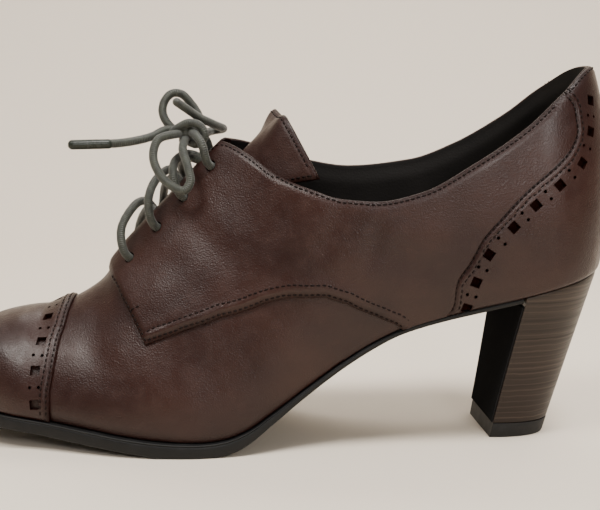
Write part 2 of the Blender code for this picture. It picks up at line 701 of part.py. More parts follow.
def make_lace():
    """Crossings over the facings, the knot with its two strands, and the bow's loops and ends."""
    for i, route in enumerate(CROSSINGS):
        route = from_eyelet(i, route)
        near = as_mesh(tube(f"lace_cross_{i + 1}", route, LACE))
        far = as_mesh(tube(f"far_strand_{i + 1}", mirrored(route), LACE))
        join(near, far)
    bpy.ops.mesh.primitive_uv_sphere_add(segments=14, ring_count=9, radius=1, location=to_world(KNOT))
    ball = bpy.context.object
    ball.name = "knot_ball"
    ball.scale = [size * MM for size in KNOT_SIZE]
    strand = from_eyelet(len(CROSSINGS), KNOT_STRAND)
    near = as_mesh(tube("lace_knot", strand, LACE))
    far = as_mesh(tube("knot_strand", mirrored(strand), LACE))
    join(near, ball, far)
    for name, route in (("lace_loop_lateral", LOOP_LATERAL), ("lace_loop_medial", LOOP_MEDIAL)):
        tube(name, np.vstack([at_knot(route[0]), route, at_knot(route[-1])]), LACE)
    for name, route in (("lace_end_lateral", END_LATERAL), ("lace_end_medial", END_MEDIAL)):
        tube(name, np.vstack([at_knot(route[0]), route]), LACE)
    tube("aglet_lateral", AGLET_ROUTE, AGLET)


for old in list(bpy.data.objects):
    bpy.data.objects.remove(old)
SHOE = collection("heeled_lace_up_shoe")
HELPERS = collection("helpers")

upper = make_upper()
for name, side in (("quarter_lateral", -1), ("quarter_medial", 1)):
    quarter = make_quarter(name, side)
    holes = eyelet_cutters(side)
    cut(upper, holes)
    cut(quarter, holes)
make_toe_cap()
make_counter()
make_tongue()
make_outsole()
make_insole()
make_heel()
make_lace()
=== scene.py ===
"""Looks of a woman's left lace-up shoe with a capped toe and a stacked block heel.

Places are in millimetres as s, y and z, as the solids have them: s runs forward from the back of the
heel, y from the outer side of the foot (-) to its inner side (+), and z up from the floor.
"""
import math

import bmesh
import bpy
import numpy as np
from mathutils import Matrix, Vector


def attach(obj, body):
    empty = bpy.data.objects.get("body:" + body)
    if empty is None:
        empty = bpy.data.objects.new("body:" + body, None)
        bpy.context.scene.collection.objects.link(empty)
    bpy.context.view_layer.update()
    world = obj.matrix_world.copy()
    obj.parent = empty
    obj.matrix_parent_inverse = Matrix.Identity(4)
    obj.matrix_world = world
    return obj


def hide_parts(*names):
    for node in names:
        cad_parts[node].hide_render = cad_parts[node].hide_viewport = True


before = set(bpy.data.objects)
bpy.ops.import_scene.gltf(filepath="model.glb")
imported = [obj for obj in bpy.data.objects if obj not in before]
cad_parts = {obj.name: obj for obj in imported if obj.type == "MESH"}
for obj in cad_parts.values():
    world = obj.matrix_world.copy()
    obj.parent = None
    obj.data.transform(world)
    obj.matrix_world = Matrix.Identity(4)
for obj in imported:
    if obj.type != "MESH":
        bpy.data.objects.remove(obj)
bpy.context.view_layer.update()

bl_info = {
    "name": "Heeled Lace-up Shoe",
    "version": (1, 0, 0),
    "blender": (4, 5, 0),
    "location": "View3D > Sidebar > Shoe",
    "description": "Leather, stitching, lace, sole and heel of a heeled lace-up shoe",
    "category": "Add Mesh",
}

MM = 0.001
MIDDLE_S = 117.7
MIDDLE_Y = 0.45

# Thicknesses of the solids, and of the looks over them
WALL = 1.6
OVERLAY_FACE = 1.8
COUNTER_FACE = 2.0
SKIVED = 0.6
LINING_AT_COLLAR = 0.45
WELD = 0.01
OVERLAY_FOOT = 0.004

# Upright sections of the upper, from the back of the heel round one side to the tip of the toe:
# turn, pivot s, centre y, foot, bulge, rise, shoulder, shoulder z, top, top z
SECTIONS = (
    (-90, 27, -0.2, 20.5, 5.5, 22, 25.2, 114, 12.6, 142),
    (-60, 27, -0.2, 21.8, 5.0, 22, 23.4, 115, 12.2, 142),
    (-30, 27, -0.2, 24.2, 4.0, 21, 21.6, 116, 11.4, 142),
    (0, 27, -0.2, 25.4, 3.5, 20, 21.2, 116, 11.0, 142),
    (0, 45, -1.0, 25.6, 4.5, 18, 24.2, 114, 14.0, 142),
    (0, 65, -2.4, 25.0, 5.5, 16, 26.2, 112, 15.0, 142),
    (0, 85, -3.6, 25.2, 5.0, 18, 27.0, 112, 13.0, 140),
    (0, 105, -3.8, 27.5, 4.5, 22, 24.0, 112, 8.0, 134),
    (0, 115, -3.2, 30.2, 4.0, 25, 18.5, 110, 3.0, 127),
    (0, 125, -2.6, 33.0, 3.5, 25, 13.0, 106, 0, 117),
    (0, 145, -1.0, 37.6, 3.0, 25, 10.0, 89, 0, 98),
    (0, 160, 0.5, 38.6, 3.0, 25, 9.5, 75, 0, 83),
    (0, 171, 1.4, 37.8, 3.0, 20, 9.5, 64, 0, 70),
    (0, 178.5, 2.0, 36.2, 3.0, 15, 13.0, 54.8, 0, 54.8),
    (0, 188, 2.3, 33.6, 3.0, 15, 15.0, 48.6, 0, 48.6),
    (0, 200, 2.5, 30.0, 2.8, 14, 16.5, 42.8, 0, 42.8),
    (25, 200, 2.5, 29.6, 2.5, 16, 19.0, 42.0, 0, 42.8),
    (50, 200, 2.5, 30.4, 2.2, 19, 23.0, 41.0, 0, 42.8),
    (70, 200, 2.5, 31.6, 2.0, 20, 26.0, 40.4, 0, 42.8),
    (90, 200, 2.5, 32.0, 1.8, 21, 27.0, 40.2, 0, 42.8),
)
TURN, PIVOT, CENTRE, FOOT = range(4)
ROUNDING = 2.6
GIRTH_STEPS = 601

# Side view of the lower edge of the upper and of the underside of the sole: s, z
FEATHER = (
    (5, 59.8), (20, 55.8), (33, 52.4), (50, 48.7), (60, 46.4), (72, 43.0), (84, 37.5), (94, 31.5),
    (107.6, 22.0), (118, 14.5), (128, 8.0), (135, 5.6), (142, 4.9), (150, 5.0), (160, 5.7),
    (180, 8.0), (200, 10.4), (210, 11.6), (220, 12.6), (232, 13.0),
)
UNDERSIDE = (
    (33, 50.4), (50, 46.7), (60, 44.4), (72, 41.0), (77, 39.1), (84, 35.4), (94, 29.2),
    (107.6, 19.2), (118, 10.9), (128, 3.2), (133, 1.0), (139, 0.0), (157, 0.0), (162, 0.7),
    (170, 1.7), (190, 4.1), (210, 6.6), (220, 7.6), (232, 8.4),
)
SOLE_EDGE = ((30, 0.2), (80, 0.3), (120, 1.2), (150, 1.8), (200, 2.2), (232, 2.2))
SOLE_BACK = 1.0
SOLE_GAP = 0.15

# Side view of the collar on the two sides, up to the top corner of the facings: s, z
COLLAR_LATERAL = (
    (6, 129.5), (10, 129.3), (21.7, 120.2), (33, 110.0), (52.8, 97.0), (69, 88.5), (84, 85.5),
    (96, 86.3), (105.6, 89.2), (116, 92.9), (127, 99.7), (132, 102.2), (136, 103.4), (142, 104.0),
)
COLLAR_MEDIAL = (
    (6, 129.5), (10, 129.3), (21.7, 122.0), (35, 111.5), (53, 100.8), (69, 95.0), (91, 92.8),
    (110, 96.0), (122, 100.5), (132, 103.6), (142, 105.0),
)
# Half the space between the facings, and between the edges of the throat under them: s, width
FACING_SPACE = ((142, 2.0), (160, 3.5), (174, 4.0), (178, 4.0))
THROAT_SPACE = ((142, 5.0), (160, 6.5), (171, 6.5), (174, 4.5), (175.5, 0.0))
FACING_TOP = 142
FACING_FOOT = 178
FACING_COLUMN = 0.66
FACING_LIFT = 1.8
FACING_LIFT_S = (160, 176)
FACING_LIFT_Z = (40, 54)

# Side view of the edges of the overlays: s, z
COUNTER_EDGE = (
    (61.5, 46.2), (59, 50.5), (58, 57.8), (53.8, 64.9), (49.7, 72.5), (42.4, 80.4), (34.2, 88.9),
    (24.8, 96.7), (19.7, 102.7), (17.6, 108.8), (18.6, 115.1), (21.7, 120.0),
)
QUARTER_SEAM = (
    (77.6, 44.2), (83.8, 46.8), (94.2, 51.4), (101.4, 53.7), (111.8, 53.6), (122, 51.3),
    (135.6, 46.8), (149, 41.6), (161.5, 36.8),
)
QUARTER_SOLE_END = 75.0
QUARTER_FRONT = ((161.5, 36.8), (166.6, 44.6), (170.8, 49.7), (175.0, 54.0), (178.0, 56.5))
CAP_EDGE = (
    (194.6, 9.9), (194.6, 20.0), (193.5, 26.6), (192.5, 35.9), (191.5, 40.0), (190.4, 46.8),
)
EYELETS = ((167.7, 62.6), (158.4, 73.5), (149.0, 84.0), (139.7, 94.9))
EYELET = 4.0

# Punched trim in side view (s, z): squares along the cap and the counter, and pairs of round holes
CAP_SQUARES = ((195.6, 45.0), (197.7, 40.9), (198.7, 34.4), (199.8, 26.1), (199.8, 15.8))
COUNTER_SQUARES = (
    (12.4, 117.9), (12.4, 107.6), (15.5, 97.4), (22.8, 90.4), (31.0, 83.8), (38.3, 76.6),
    (46.6, 67.8), (50.7, 58.4), (53.8, 49.7),
)
SQUARE = 3.3
PINHOLE = 1.15
PINHOLES_APART = 3.1

# Rows of stitches: how far in from an edge, and the size of one stitch
NEAR_ROW = 1.35
FAR_ROW = 4.0
CLOSE_ROW = 2.9
COLLAR_ROW = 1.7
GROOVE = 0.16
TACK_UP = 0.36
TACK_END = 4.6
GROOVE_WIDTH = 0.5

# Creases in side view: s, z of both ends, half width, depth, side (-1 outer, 1 inner, 0 both)
CREASES = (
    (94, 84, 104, 66, 3.0, 0.25, 0),
    (82, 80, 88, 62, 2.4, 0.22, -1),
    (112, 86, 117, 74, 3.0, 0.22, 0),
    (128, 62, 150, 78, 4.5, 0.30, 0),
    (150, 66, 163, 58, 3.5, 0.25, 0),
    (140, 30, 176, 44, 7.0, 0.35, 0),
    (168, 24, 186, 38, 5.0, 0.30, 0),
    (203, 28, 214, 40, 2.2, 0.22, -1),
    (66, 62, 84, 70, 5.0, 0.25, 0),
    (24, 70, 40, 62, 6.0, 0.20, -1),
)

# Tongue: the middle line in side view (s, z), and its half width from the base to the top
TONGUE_LINE = (
    (173.5, 59.0), (168, 63.5), (160, 71.5), (150, 81.5), (140, 91.0), (130, 100.0), (117, 113.0),
)
TONGUE_WIDTH = ((0.0, 8.0), (0.4, 11.0), (0.8, 16.0), (1.0, 18.5))
TONGUE_RIDGE = 6.0
TONGUE_FALL = 1.5
TONGUE = 2.2
TONGUE_TOP_WAY = (-0.55, -1.15)
TONGUE_TOP_FALL = ((0, 0.9), (4, 0.4), (7, 0.0), (9, 0.5), (11.5, 3.2), (14, 7.6), (18.5, 17.4))
TONGUE_TOP_TURN = (0.24, 0.10)
TONGUE_TOP_RISE = 1.3

# Heel: the breast lies 0.1 forward for each unit towards the inner side
HEEL_TOP_S = 32.8
HEEL_FOOT_S = 42.6
HEEL_FOOT_DEPTH = 20.6
HEEL_FOOT_HALF = 15.0
HEEL_SKEW = 3.0
HEEL_SEAT_EDGE = 1.5
HEEL_WAIST = 1.3
LIFT = 5.3
GAP = 0.3
BREAST = 1.0
BREAST_BELOW_SEAT = 3.2
BREAST_INSET = 0.4
INSOLE = 2.0

# Routes of the lace as points of s, y, z, from the outer eyelets; the inner ones mirror them
LACE = 3.0
AGLET = 3.4
CROSSINGS = (
    ((170.9, -12.0, 72.9), (168.6, -8.0, 78.4), (165.6, -3.0, 81.6), (163.2, 1.6, 81.2)),
    ((161.2, -12.6, 83.0), (160.2, -9.0, 87.8), (157.4, -3.6, 91.6), (154.6, 1.6, 92.6)),
    ((152.6, -11.6, 92.2), (152.4, -7.2, 96.2), (149.8, -2.6, 98.2), (147.0, 1.6, 98.0)),
)
KNOT = (149.0, -1.5, 106.4)
KNOT_SIZE = (5.6, 5.0, 4.2)
KNOT_ARCH = (
    (154.2, -3.6, 106.6), (151.4, -5.2, 108.6), (147.6, -6.4, 110.2), (144.4, -6.6, 109.4),
    (142.6, -6.6, 106.6), (143.4, -6.0, 103.6), (146.2, -4.2, 102.6), (149.0, -1.8, 103.8),
)
KNOT_STRAND = ((143.2, -11.8, 103.2), (146.0, -7.5, 106.4), (149.0, -1.5, 106.4))
LOOP_LATERAL = (
    (153.4, -8.2, 106.2), (158.1, -12.0, 104.8), (159.6, -14.8, 99.1), (157.4, -16.8, 93.6),
    (153.0, -18.4, 89.4), (148.6, -19.2, 87.9), (146.8, -18.6, 90.4), (147.6, -16.2, 95.4),
    (149.9, -10.4, 101.6),
)
LOOP_MEDIAL = (
    (153.6, 0.6, 107.4), (156.4, 1.6, 109.8), (158.0, 2.6, 113.4), (157.3, 3.4, 117.2),
    (154.8, 4.2, 119.9), (151.6, 5.0, 119.8), (148.6, 5.8, 116.8), (145.8, 6.2, 112.6), (144.4, 4.8, 108.6),
)
END_LATERAL = (
    (155.8, -3.2, 107.6), (160.4, -6.6, 105.6), (165.4, -10.8, 104.4), (170.4, -14.2, 103.8),
    (176.0, -16.8, 103.6), (180.0, -18.0, 103.6),
)
AGLET_ROUTE = ((174.6, -16.3, 103.6), (186.0, -20.0, 103.6))
END_MEDIAL = (
    (145.4, 4.2, 105.4), (143.4, 7.4, 105.6), (142.4, 10.2, 105.8), (141.9, 12.2, 106.0),
    (140.2, 13.4, 106.3), (138.2, 12.9, 106.6), (137.0, 11.2, 107.0), (137.4, 9.1, 107.5),
    (139.2, 6.6, 108.4), (141.7, 4.0, 109.8), (144.6, 1.8, 111.3), (148.4, -1.2, 114.2),
    (152.3, -4.0, 117.2),
)

# Walls: how a rim is rounded, and up to which s the upper's back is covered by the counter, where it is painted dark
# as shade and given no shine
RIM_STEPS = 5
PAINTED_SHADE_BACK = 66
RIM_BULGE = 0.75
SHARP_ANGLE = 50

# Punched holes: how deep the prisms cut, and the sides of a round hole
PUNCH_DEPTH = 4.0
PINHOLE_SIDES = 8
EYELET_DEPTH = 6.0
EYELET_SIDES = 24

# Stitches, and how many are seated at a time
STITCH_PITCH = 1.9
STITCH_LENGTH = 1.5
STITCH_WIDTH = 0.62
STITCH_RINGS = ((-0.5, 0.25, -0.35), (-0.4, 0.8, -0.05), (0.0, 1.0, 0.1), (0.4, 0.8, -0.05), (0.5, 0.25, -0.35))
STITCH_SIDES = 6
SEAT_BATCH = 64

# The lace's rings, its braid and the domes on its ends
CORD_SIDES = 14
CORD_STEP = 0.7
BRAID_TURNS = 0.35
CORD_DOME = (0.97, 0.8, 0.45)

# How the lace passes under and over the facings
UNDER_FACING = -3.5
OVER_FACING = 3.6
NEAR_RAISED = 0.6
FAR_LOWERED = (-2.3, -1.8, -0.5)

# The camera as it stood for the photograph, in the shoe's own millimetres
CAMERA_S = 109.5
CAMERA_Y = -451.0
CAMERA_Z = 136.6
CAMERA_DOWN = 9.3
LENS = 76.8


def run_along(points):
    """The length along a run of points at each of them, from 0."""
    return np.concatenate([[0], np.cumsum(np.linalg.norm(np.diff(points, axis=0), axis=1))])


def cubic(start, end, start_slope, end_slope, u, width):
    """A cubic between two values with a slope at each, u of the way over a width."""
    return (
        start * (1 + 2 * u) * (1 - u) ** 2
        + start_slope * width * u * (1 - u) ** 2
        + end * u * u * (3 - 2 * u)
        + end_slope * width * u * u * (u - 1)
    )


def through(table, at):
    """A smooth curve through a table's points that never passes beyond them, read at some places."""
    x, y = np.array(table, float).T
    width = np.diff(x)
    slope = np.diff(y) / width
    same = slope[:-1] * slope[1:] > 0
    mean = 2 * slope[:-1] * slope[1:] / np.where(same, slope[:-1] + slope[1:], 1.0)
    tangent = np.concatenate([[slope[0]], np.where(same, mean, 0.0), [slope[-1]]])
    at = np.clip(at, x[0], x[-1])
    i = np.clip(np.searchsorted(x, at, side="right") - 1, 0, len(width) - 1)
    u = (at - x[i]) / width[i]
    return cubic(y[i], y[i + 1], tangent[i], tangent[i + 1], u, width[i])


def ease(value, start, end):
    """A soft step from 0 at start to 1 at end: 3u^2 - 2u^3."""
    u = np.clip((value - start) / (end - start), 0, 1)
    return u * u * (3 - 2 * u)


def bell(value, width):
    """A bell around 0: exp(-(value / width)^2)."""
    return np.exp(-((value / width) ** 2))


def smooth_sections():
    """The section table over the girth of one side in fine steps, with its corners rounded."""
    rows = np.array(SECTIONS, float)
    angle = np.radians(rows[:, TURN])
    edge = np.stack([rows[:, PIVOT] + rows[:, FOOT] * np.sin(angle), rows[:, FOOT] * np.cos(angle)], 1)
    girth = run_along(edge)
    fine = np.linspace(0, girth[-1], GIRTH_STEPS)
    reach = int(4 * ROUNDING / fine[1])
    kernel = np.exp(-0.5 * (np.arange(-reach, reach + 1) * fine[1] / ROUNDING) ** 2)
    kernel /= kernel.sum()
    columns = []
    for i in range(rows.shape[1]):
        column = np.interp(fine, girth, rows[:, i])
        ends = "odd" if i == TURN else "even"
        padded = np.pad(column, reach, mode="reflect", reflect_type=ends)
        columns.append(np.convolve(padded, kernel, mode="valid"))
    return fine, columns


GIRTH, COLUMNS = smooth_sections()
FOOT_S = COLUMNS[PIVOT] + COLUMNS[FOOT] * np.sin(np.radians(COLUMNS[TURN]))
TIP = GIRTH[-1]


def girth_at(s):
    """The girth at which the foot edge is at s."""
    return np.interp(s, FOOT_S, GIRTH)


def surface(girth, t, side, out=0.0):
    """Points of the upper's outer face: in each upright plane a cubic curve, t of the way up it."""
    girth, t = np.broadcast_arrays(np.asarray(girth, float), np.asarray(t, float))
    turn, pivot, centre, foot, bulge, rise, shoulder, shoulder_z, top, top_z = (
        np.interp(girth, GIRTH, column) for column in COLUMNS
    )
    angle = np.radians(turn)
    foot_z = through(FEATHER, pivot + foot * np.sin(angle))
    weights = ((1 - t) ** 3, 3 * t * (1 - t) ** 2, 3 * t * t * (1 - t), t**3)
    r = out + weights[0] * foot + weights[1] * (foot + bulge) + weights[2] * shoulder + weights[3] * top
    z = weights[0] * foot_z + weights[1] * (foot_z + rise) + weights[2] * shoulder_z + weights[3] * top_z
    return np.stack([pivot + r * np.sin(angle), centre + side * r * np.cos(angle), z], -1)


def centre_line(s):
    """The y of the shoe's curved centre line at s."""
    return np.interp(girth_at(s), GIRTH, COLUMNS[CENTRE])


def top_of(girth, side, space):
    """How far up each column reaches: to the collar, the edge beside the throat, or the top."""
    t = np.linspace(0, 1, 401)
    girth = np.atleast_1d(girth)
    at = surface(girth[:, None], t[None, :], side)
    collar = COLLAR_LATERAL if side < 0 else COLLAR_MEDIAL
    over = at[..., 2] - through(collar, at[..., 0])
    over = np.where(at[..., 0] < FACING_TOP + 4, over, -1.0)
    width = np.abs(at[..., 1] - np.interp(girth, GIRTH, COLUMNS[CENTRE])[:, None])
    beside = through(space, at[..., 0]) - width
    beside = np.where((at[..., 0] > FACING_TOP - 8) & (at[..., 0] < space[-1][0]), beside, -1.0)
    past = np.maximum(over, beside)
    first = np.argmax(past > 0, axis=1)
    rows = np.arange(len(girth))
    before = np.maximum(first - 1, 0)
    low, high = past[rows, before], past[rows, first]
    share = np.where(high - low > 1e-9, -low / np.where(high - low > 1e-9, high - low, 1), 0)
    found = (t[before] + share * (t[1] - t[0])).clip(0, 1)
    return np.where((past > 0).any(axis=1), found, 1.0)


def seen_at(table, side):
    """Girth and t of the points of the upper that a side view shows at each s and z."""
    girth = np.linspace(0, TIP, 700)
    t = np.linspace(0, 1, 301)
    at = surface(girth[:, None], t[None, :], side)
    places = []
    for s, z in table:
        i, j = np.unravel_index(np.argmin((at[..., 0] - s) ** 2 + (at[..., 2] - z) ** 2), at.shape[:2])
        places.append((girth[i], t[j]))
    return np.array(places)


def along(points, share):
    """Points at some shares of the length of a run of points."""
    steps = np.linalg.norm(np.diff(points, axis=0), axis=1)
    length = np.concatenate([[0], np.cumsum(steps)]) / steps.sum()
    return np.stack([np.interp(share, length, points[:, i]) for i in range(points.shape[1])], -1)


def in_frame(points):
    """Millimetres in the frame's own axes, from s, y and z."""
    points = np.asarray(points, float)
    return np.stack([MIDDLE_S - points[..., 0], points[..., 1] - MIDDLE_Y, points[..., 2]], -1)


def from_frame(points):
    """s, y and z, from millimetres in the frame's own axes."""
    return np.stack([MIDDLE_S - points[..., 0], points[..., 1] + MIDDLE_Y, points[..., 2]], -1)


def unit(vectors):
    """Vectors of length 1."""
    return vectors / np.maximum(np.linalg.norm(vectors, axis=-1, keepdims=True), 1e-9)


def crease_depth(places, side):
    """How far the leather stands out or in, in mm, at places of s, y and z.

    Each crease is a trough along a line in side view, -d * bell(a / w), between two soft ridges,
    0.6 d * bell((a - 2 w) / w), where a is the distance to the line, faded past the line's ends.
    """
    found = np.zeros(places.shape[:-1])
    for s0, z0, s1, z1, width, depth, on in CREASES:
        line = np.array([s1 - s0, z1 - z0], float)
        length = np.linalg.norm(line)
        line /= length
        away = places[..., [0, 2]] - (s0, z0)
        run = away @ line
        across = np.abs(away @ np.array([-line[1], line[0]]))
        fade = ease(run, -width * 2, length * 0.35)
        fade = fade * (1 - ease(run, length * 0.65, length + width * 2))
        fold = -bell(across, width) + 0.6 * bell(across - 2 * width, width)
        here = (side == on) | (on == 0)
        found += np.where(here, depth * fold * fade, 0)
    return found


def edge_distances(points):
    """Distance of each point of a grid to its left, right, low and high edge, along the grid, in mm."""
    columns = np.linalg.norm(np.diff(points, axis=1), axis=2)
    rows = np.linalg.norm(np.diff(points, axis=0), axis=2)
    left = np.pad(np.cumsum(columns, axis=1), ((0, 0), (1, 0)))
    low = np.pad(np.cumsum(rows, axis=0), ((1, 0), (0, 0)))
    return {"left": left, "right": left[:, -1:] - left, "low": low, "high": low[-1:] - low}


def with_normals(points, side):
    """The points of a grid in the frame's mm, each with the direction out of the shoe, as six columns."""
    at = in_frame(points)
    normal = np.cross(np.gradient(at, axis=1), np.gradient(at, axis=0))
    return np.concatenate([at, side * unit(normal)], -1)


def far_from(points, edge):
    """Distance in mm of each point of a grid from the nearest place of an edge line."""
    run = run_along(edge)
    even = np.linspace(0, run[-1], int(run[-1] / 0.25) + 2)
    line = np.stack([np.interp(even, run, edge[:, i]) for i in range(3)], -1)
    flat = points.reshape(-1, 3)
    found = [np.linalg.norm(some[:, None] - line, axis=2).min(axis=1) for some in np.array_split(flat, 60)]
    return np.concatenate(found).reshape(points.shape[:2])


def level_row(points, distance, inset):
    """The line that lies an inset in from an edge of a grid; distance grows from it down each column."""
    share = np.argmax(distance > inset, axis=0)
    columns = np.arange(points.shape[1])
    before = np.maximum(share - 1, 0)
    low, high = distance[before, columns], distance[share, columns]
    part = ((inset - low) / np.maximum(high - low, 1e-6)).clip(0, 1)[:, None]
    return points[before, columns] * (1 - part) + points[share, columns] * part


def mesh_object(name, points, faces, looks, material_index=None, attributes=None):
    """An object from arrays of points in mm and lists of faces, at the origin and shaded smooth."""
    mesh = bpy.data.meshes.new(name)
    mesh.from_pydata((np.asarray(points) * MM).tolist(), [], faces)
    for look in looks:
        mesh.materials.append(look)
    if material_index is not None:
        mesh.polygons.foreach_set("material_index", np.asarray(material_index, np.int32))
    for key, values in (attributes or {}).items():
        layer = mesh.attributes.new(key, "FLOAT", "POINT")
        layer.data.foreach_set("value", np.asarray(values, np.float32))
    mesh.shade_smooth()
    mesh.update()
    obj = bpy.data.objects.new(name, mesh)
    bpy.context.scene.collection.objects.link(obj)
    return obj


def grid_quads(rows, columns, start=0, wrap=False):
    """Quads of a grid of points, row by row; wrap joins the last column to the first."""
    index = start + np.arange(rows * columns).reshape(rows, columns)
    if wrap:
        index = np.concatenate([index, index[:, :1]], axis=1)
    return np.stack([index[:-1, :-1], index[:-1, 1:], index[1:, 1:], index[1:, :-1]], -1).reshape(-1, 4)


def shell(name, patches, looks):
    """A closed wall over patches of one face, with round edges.

    Each patch has points (rows up, columns forward) in mm, a side, and for each point the offsets
    along the face's normal of the wall's outer and inner skin. Points that coincide are one. Along
    an open edge the wall closes with a half round: middle + half * cos(a), out * sin(a), a from 0
    to pi. Attribute edge holds the distance to the nearest true edge.
    """
    points, quads, outer, inner, edge = [], [], [], [], []
    start = 0
    for patch in patches:
        rows, columns = patch["points"].shape[:2]
        quad = grid_quads(rows, columns, start)
        quads.append(quad if patch["side"] > 0 else quad[:, ::-1])
        points.append(in_frame(patch["points"]).reshape(-1, 3))
        for values, key in ((outer, "outer"), (inner, "inner"), (edge, "edge")):
            values.append(np.broadcast_to(patch[key], (rows, columns)).ravel())
        start += rows * columns
    points, quads = np.concatenate(points), np.concatenate(quads)
    outer, inner, edge = np.concatenate(outer), np.concatenate(inner), np.concatenate(edge)

    _, first, index = np.unique(np.round(points / WELD).astype(np.int64), axis=0,
                                return_index=True, return_inverse=True)
    index = index.ravel()
    base, outer, inner, edge = points[first], outer[first], inner[first], edge[first]
    triangles = index[np.concatenate([quads[:, [0, 1, 2]], quads[:, [0, 2, 3]]])]
    a, b, c = triangles.T
    triangles = triangles[(a != b) & (b != c) & (c != a)]
    first, second, third = (base[triangles[:, k]] for k in range(3))
    facing = np.cross(second - first, third - first)
    normal = np.zeros_like(base)
    for k in range(3):
        np.add.at(normal, triangles[:, k], facing)
    normal = unit(normal)

    count = len(base)
    ways = np.concatenate([triangles[:, [0, 1]], triangles[:, [1, 2]], triangles[:, [2, 0]]])
    open_ways = ways[~np.isin(ways[:, 0] * count + ways[:, 1], ways[:, 1] * count + ways[:, 0])]
    rim = np.unique(open_ways)
    out = np.zeros_like(base)
    towards = np.cross(base[open_ways[:, 1]] - base[open_ways[:, 0]], normal[open_ways[:, 0]])
    np.add.at(out, open_ways[:, 0], towards)
    np.add.at(out, open_ways[:, 1], towards)
    out = unit(out)
    half = (outer - inner) / 2
    middle = (outer + inner) / 2
    tuck = np.zeros(count)
    tuck[rim] = RIM_BULGE * half[rim]
    skin_out = base + normal * outer[:, None] - out * tuck[:, None]
    skin_in = base + normal * inner[:, None] - out * tuck[:, None]
    turn = np.linspace(0, math.pi, RIM_STEPS + 1)[1:-1]
    rings = [
        base[rim] + normal[rim] * (middle[rim] + half[rim] * math.cos(k))[:, None]
        + out[rim] * (tuck[rim] * (math.sin(k) - 1))[:, None]
        for k in turn
    ]
    place = np.zeros(count, int)
    place[rim] = np.arange(len(rim))
    levels = [np.arange(count)] + [2 * count + i * len(rim) + place for i in range(len(rings))]
    levels.append(count + np.arange(count))
    from_point, to_point = open_ways.T
    edges = [
        np.stack([low[to_point], low[from_point], high[from_point], high[to_point]], 1)
        for low, high in zip(levels, levels[1:])
    ]
    faces = triangles.tolist() + (triangles[:, ::-1] + count).tolist() + np.concatenate(edges).tolist()
    slots = np.zeros(len(faces), int)
    if len(looks) > 1:
        slots[len(triangles):2 * len(triangles)] = 1
    edge = np.concatenate([edge, edge] + [np.zeros(len(rim))] * len(rings))
    all_points = np.concatenate([skin_out, skin_in] + rings)
    return mesh_object(name, all_points, faces, looks, slots, {"edge": edge})


def face_outwards(mesh, merge=0.0):
    """Turn a closed mesh's faces outwards, after merging its doubles if a distance is given."""
    bm = bmesh.new()
    bm.from_mesh(mesh)
    if merge:
        bmesh.ops.remove_doubles(bm, verts=bm.verts, dist=merge)
        bmesh.ops.dissolve_degenerate(bm, edges=bm.edges, dist=merge)
    bmesh.ops.recalc_face_normals(bm, faces=bm.faces)
    bm.to_mesh(mesh)
    bm.free()


def settle(obj, sharp=None):
    """The object's mesh with its modifiers in it; edges sharper than an angle are drawn sharp."""
    graph = bpy.context.evaluated_depsgraph_get()
    graph.update()
    mesh = bpy.data.meshes.new_from_object(obj.evaluated_get(graph))
    obj.modifiers.clear()
    old = obj.data
    obj.data = mesh
    bpy.data.meshes.remove(old)
    mesh.name = obj.name
    if sharp is not None:
        mesh.set_sharp_from_angle(angle=math.radians(sharp))
    return obj


def punch(obj, prisms):
    """Cut prisms through a wall: each has a centre, a frame of three directions, and a polygon."""
    points, faces, start = [], [], 0
    for centre, across, along_row, up, outline, depth in prisms:
        count = len(outline)
        flat = centre + outline[:, :1] * across + outline[:, 1:] * along_row
        points += [flat - up * depth, flat + up * depth]
        ring = np.arange(count)
        after = np.roll(ring, -1)
        walls = np.stack([ring, after, after + count, ring + count], 1) + start
        faces += walls.tolist() + [(ring[::-1] + start).tolist(), (ring + count + start).tolist()]
        start += 2 * count
    cutter = mesh_object(obj.name + "_punch", np.concatenate(points), faces, [])
    face_outwards(cutter.data)
    holes = obj.modifiers.new("Holes", "BOOLEAN")
    holes.operation = "DIFFERENCE"
    holes.object = cutter
    holes.solver = "EXACT"
    settle(obj, SHARP_ANGLE)
    bpy.data.objects.remove(cutter)


def round_outline(diameter, count=12):
    """Corners of a round hole: r cos(a), r sin(a)."""
    turn = np.linspace(0, 2 * math.pi, count, endpoint=False)
    return np.stack([np.cos(turn), np.sin(turn)], 1) * diameter / 2


def square_outline(size):
    """Corners of a square hole."""
    return np.array([(-1, -1), (1, -1), (1, 1), (-1, 1)]) * size / 2


def face_frame(girth, t, side):
    """Points of the upper's face in the frame's mm, with the directions out of it and up it."""
    at = in_frame(surface(girth, t, side))
    ahead = in_frame(surface(np.asarray(girth) + 1, t, side)) - at
    above = at - in_frame(surface(girth, np.asarray(t) - 0.02, side))
    out = unit(np.cross(ahead, above))
    out *= np.sign(out @ np.array([0, side, 0.5]))[:, None]
    return at, out, unit(above)


def trim_prisms(squares, side, shared=0):
    """Prisms for a row of squares, turned along the row, and pairs of pinholes between them.

    The first squares that lie on the middle line are shared, and made with the outer side.
    """
    at, out, _ = face_frame(*seen_at(squares, -1).T, side)
    way = unit(np.gradient(at, axis=0))
    prisms = []
    start = shared if side > 0 else 0
    for centre, normal, row in zip(at[start:], out[start:], way[start:]):
        across = np.cross(normal, row)
        prisms.append((centre, across, row, normal, square_outline(SQUARE), PUNCH_DEPTH))
    middles = (at[:-1] + at[1:]) / 2
    normals = unit(out[:-1] + out[1:])
    rows = unit(at[1:] - at[:-1])
    for centre, normal, row in zip(middles, normals, rows):
        across = np.cross(normal, row)
        for step in (-PINHOLES_APART / 2, PINHOLES_APART / 2):
            hole = round_outline(PINHOLE, PINHOLE_SIDES)
            prisms.append((centre + across * step, across, row, normal, hole, PUNCH_DEPTH))
    return prisms


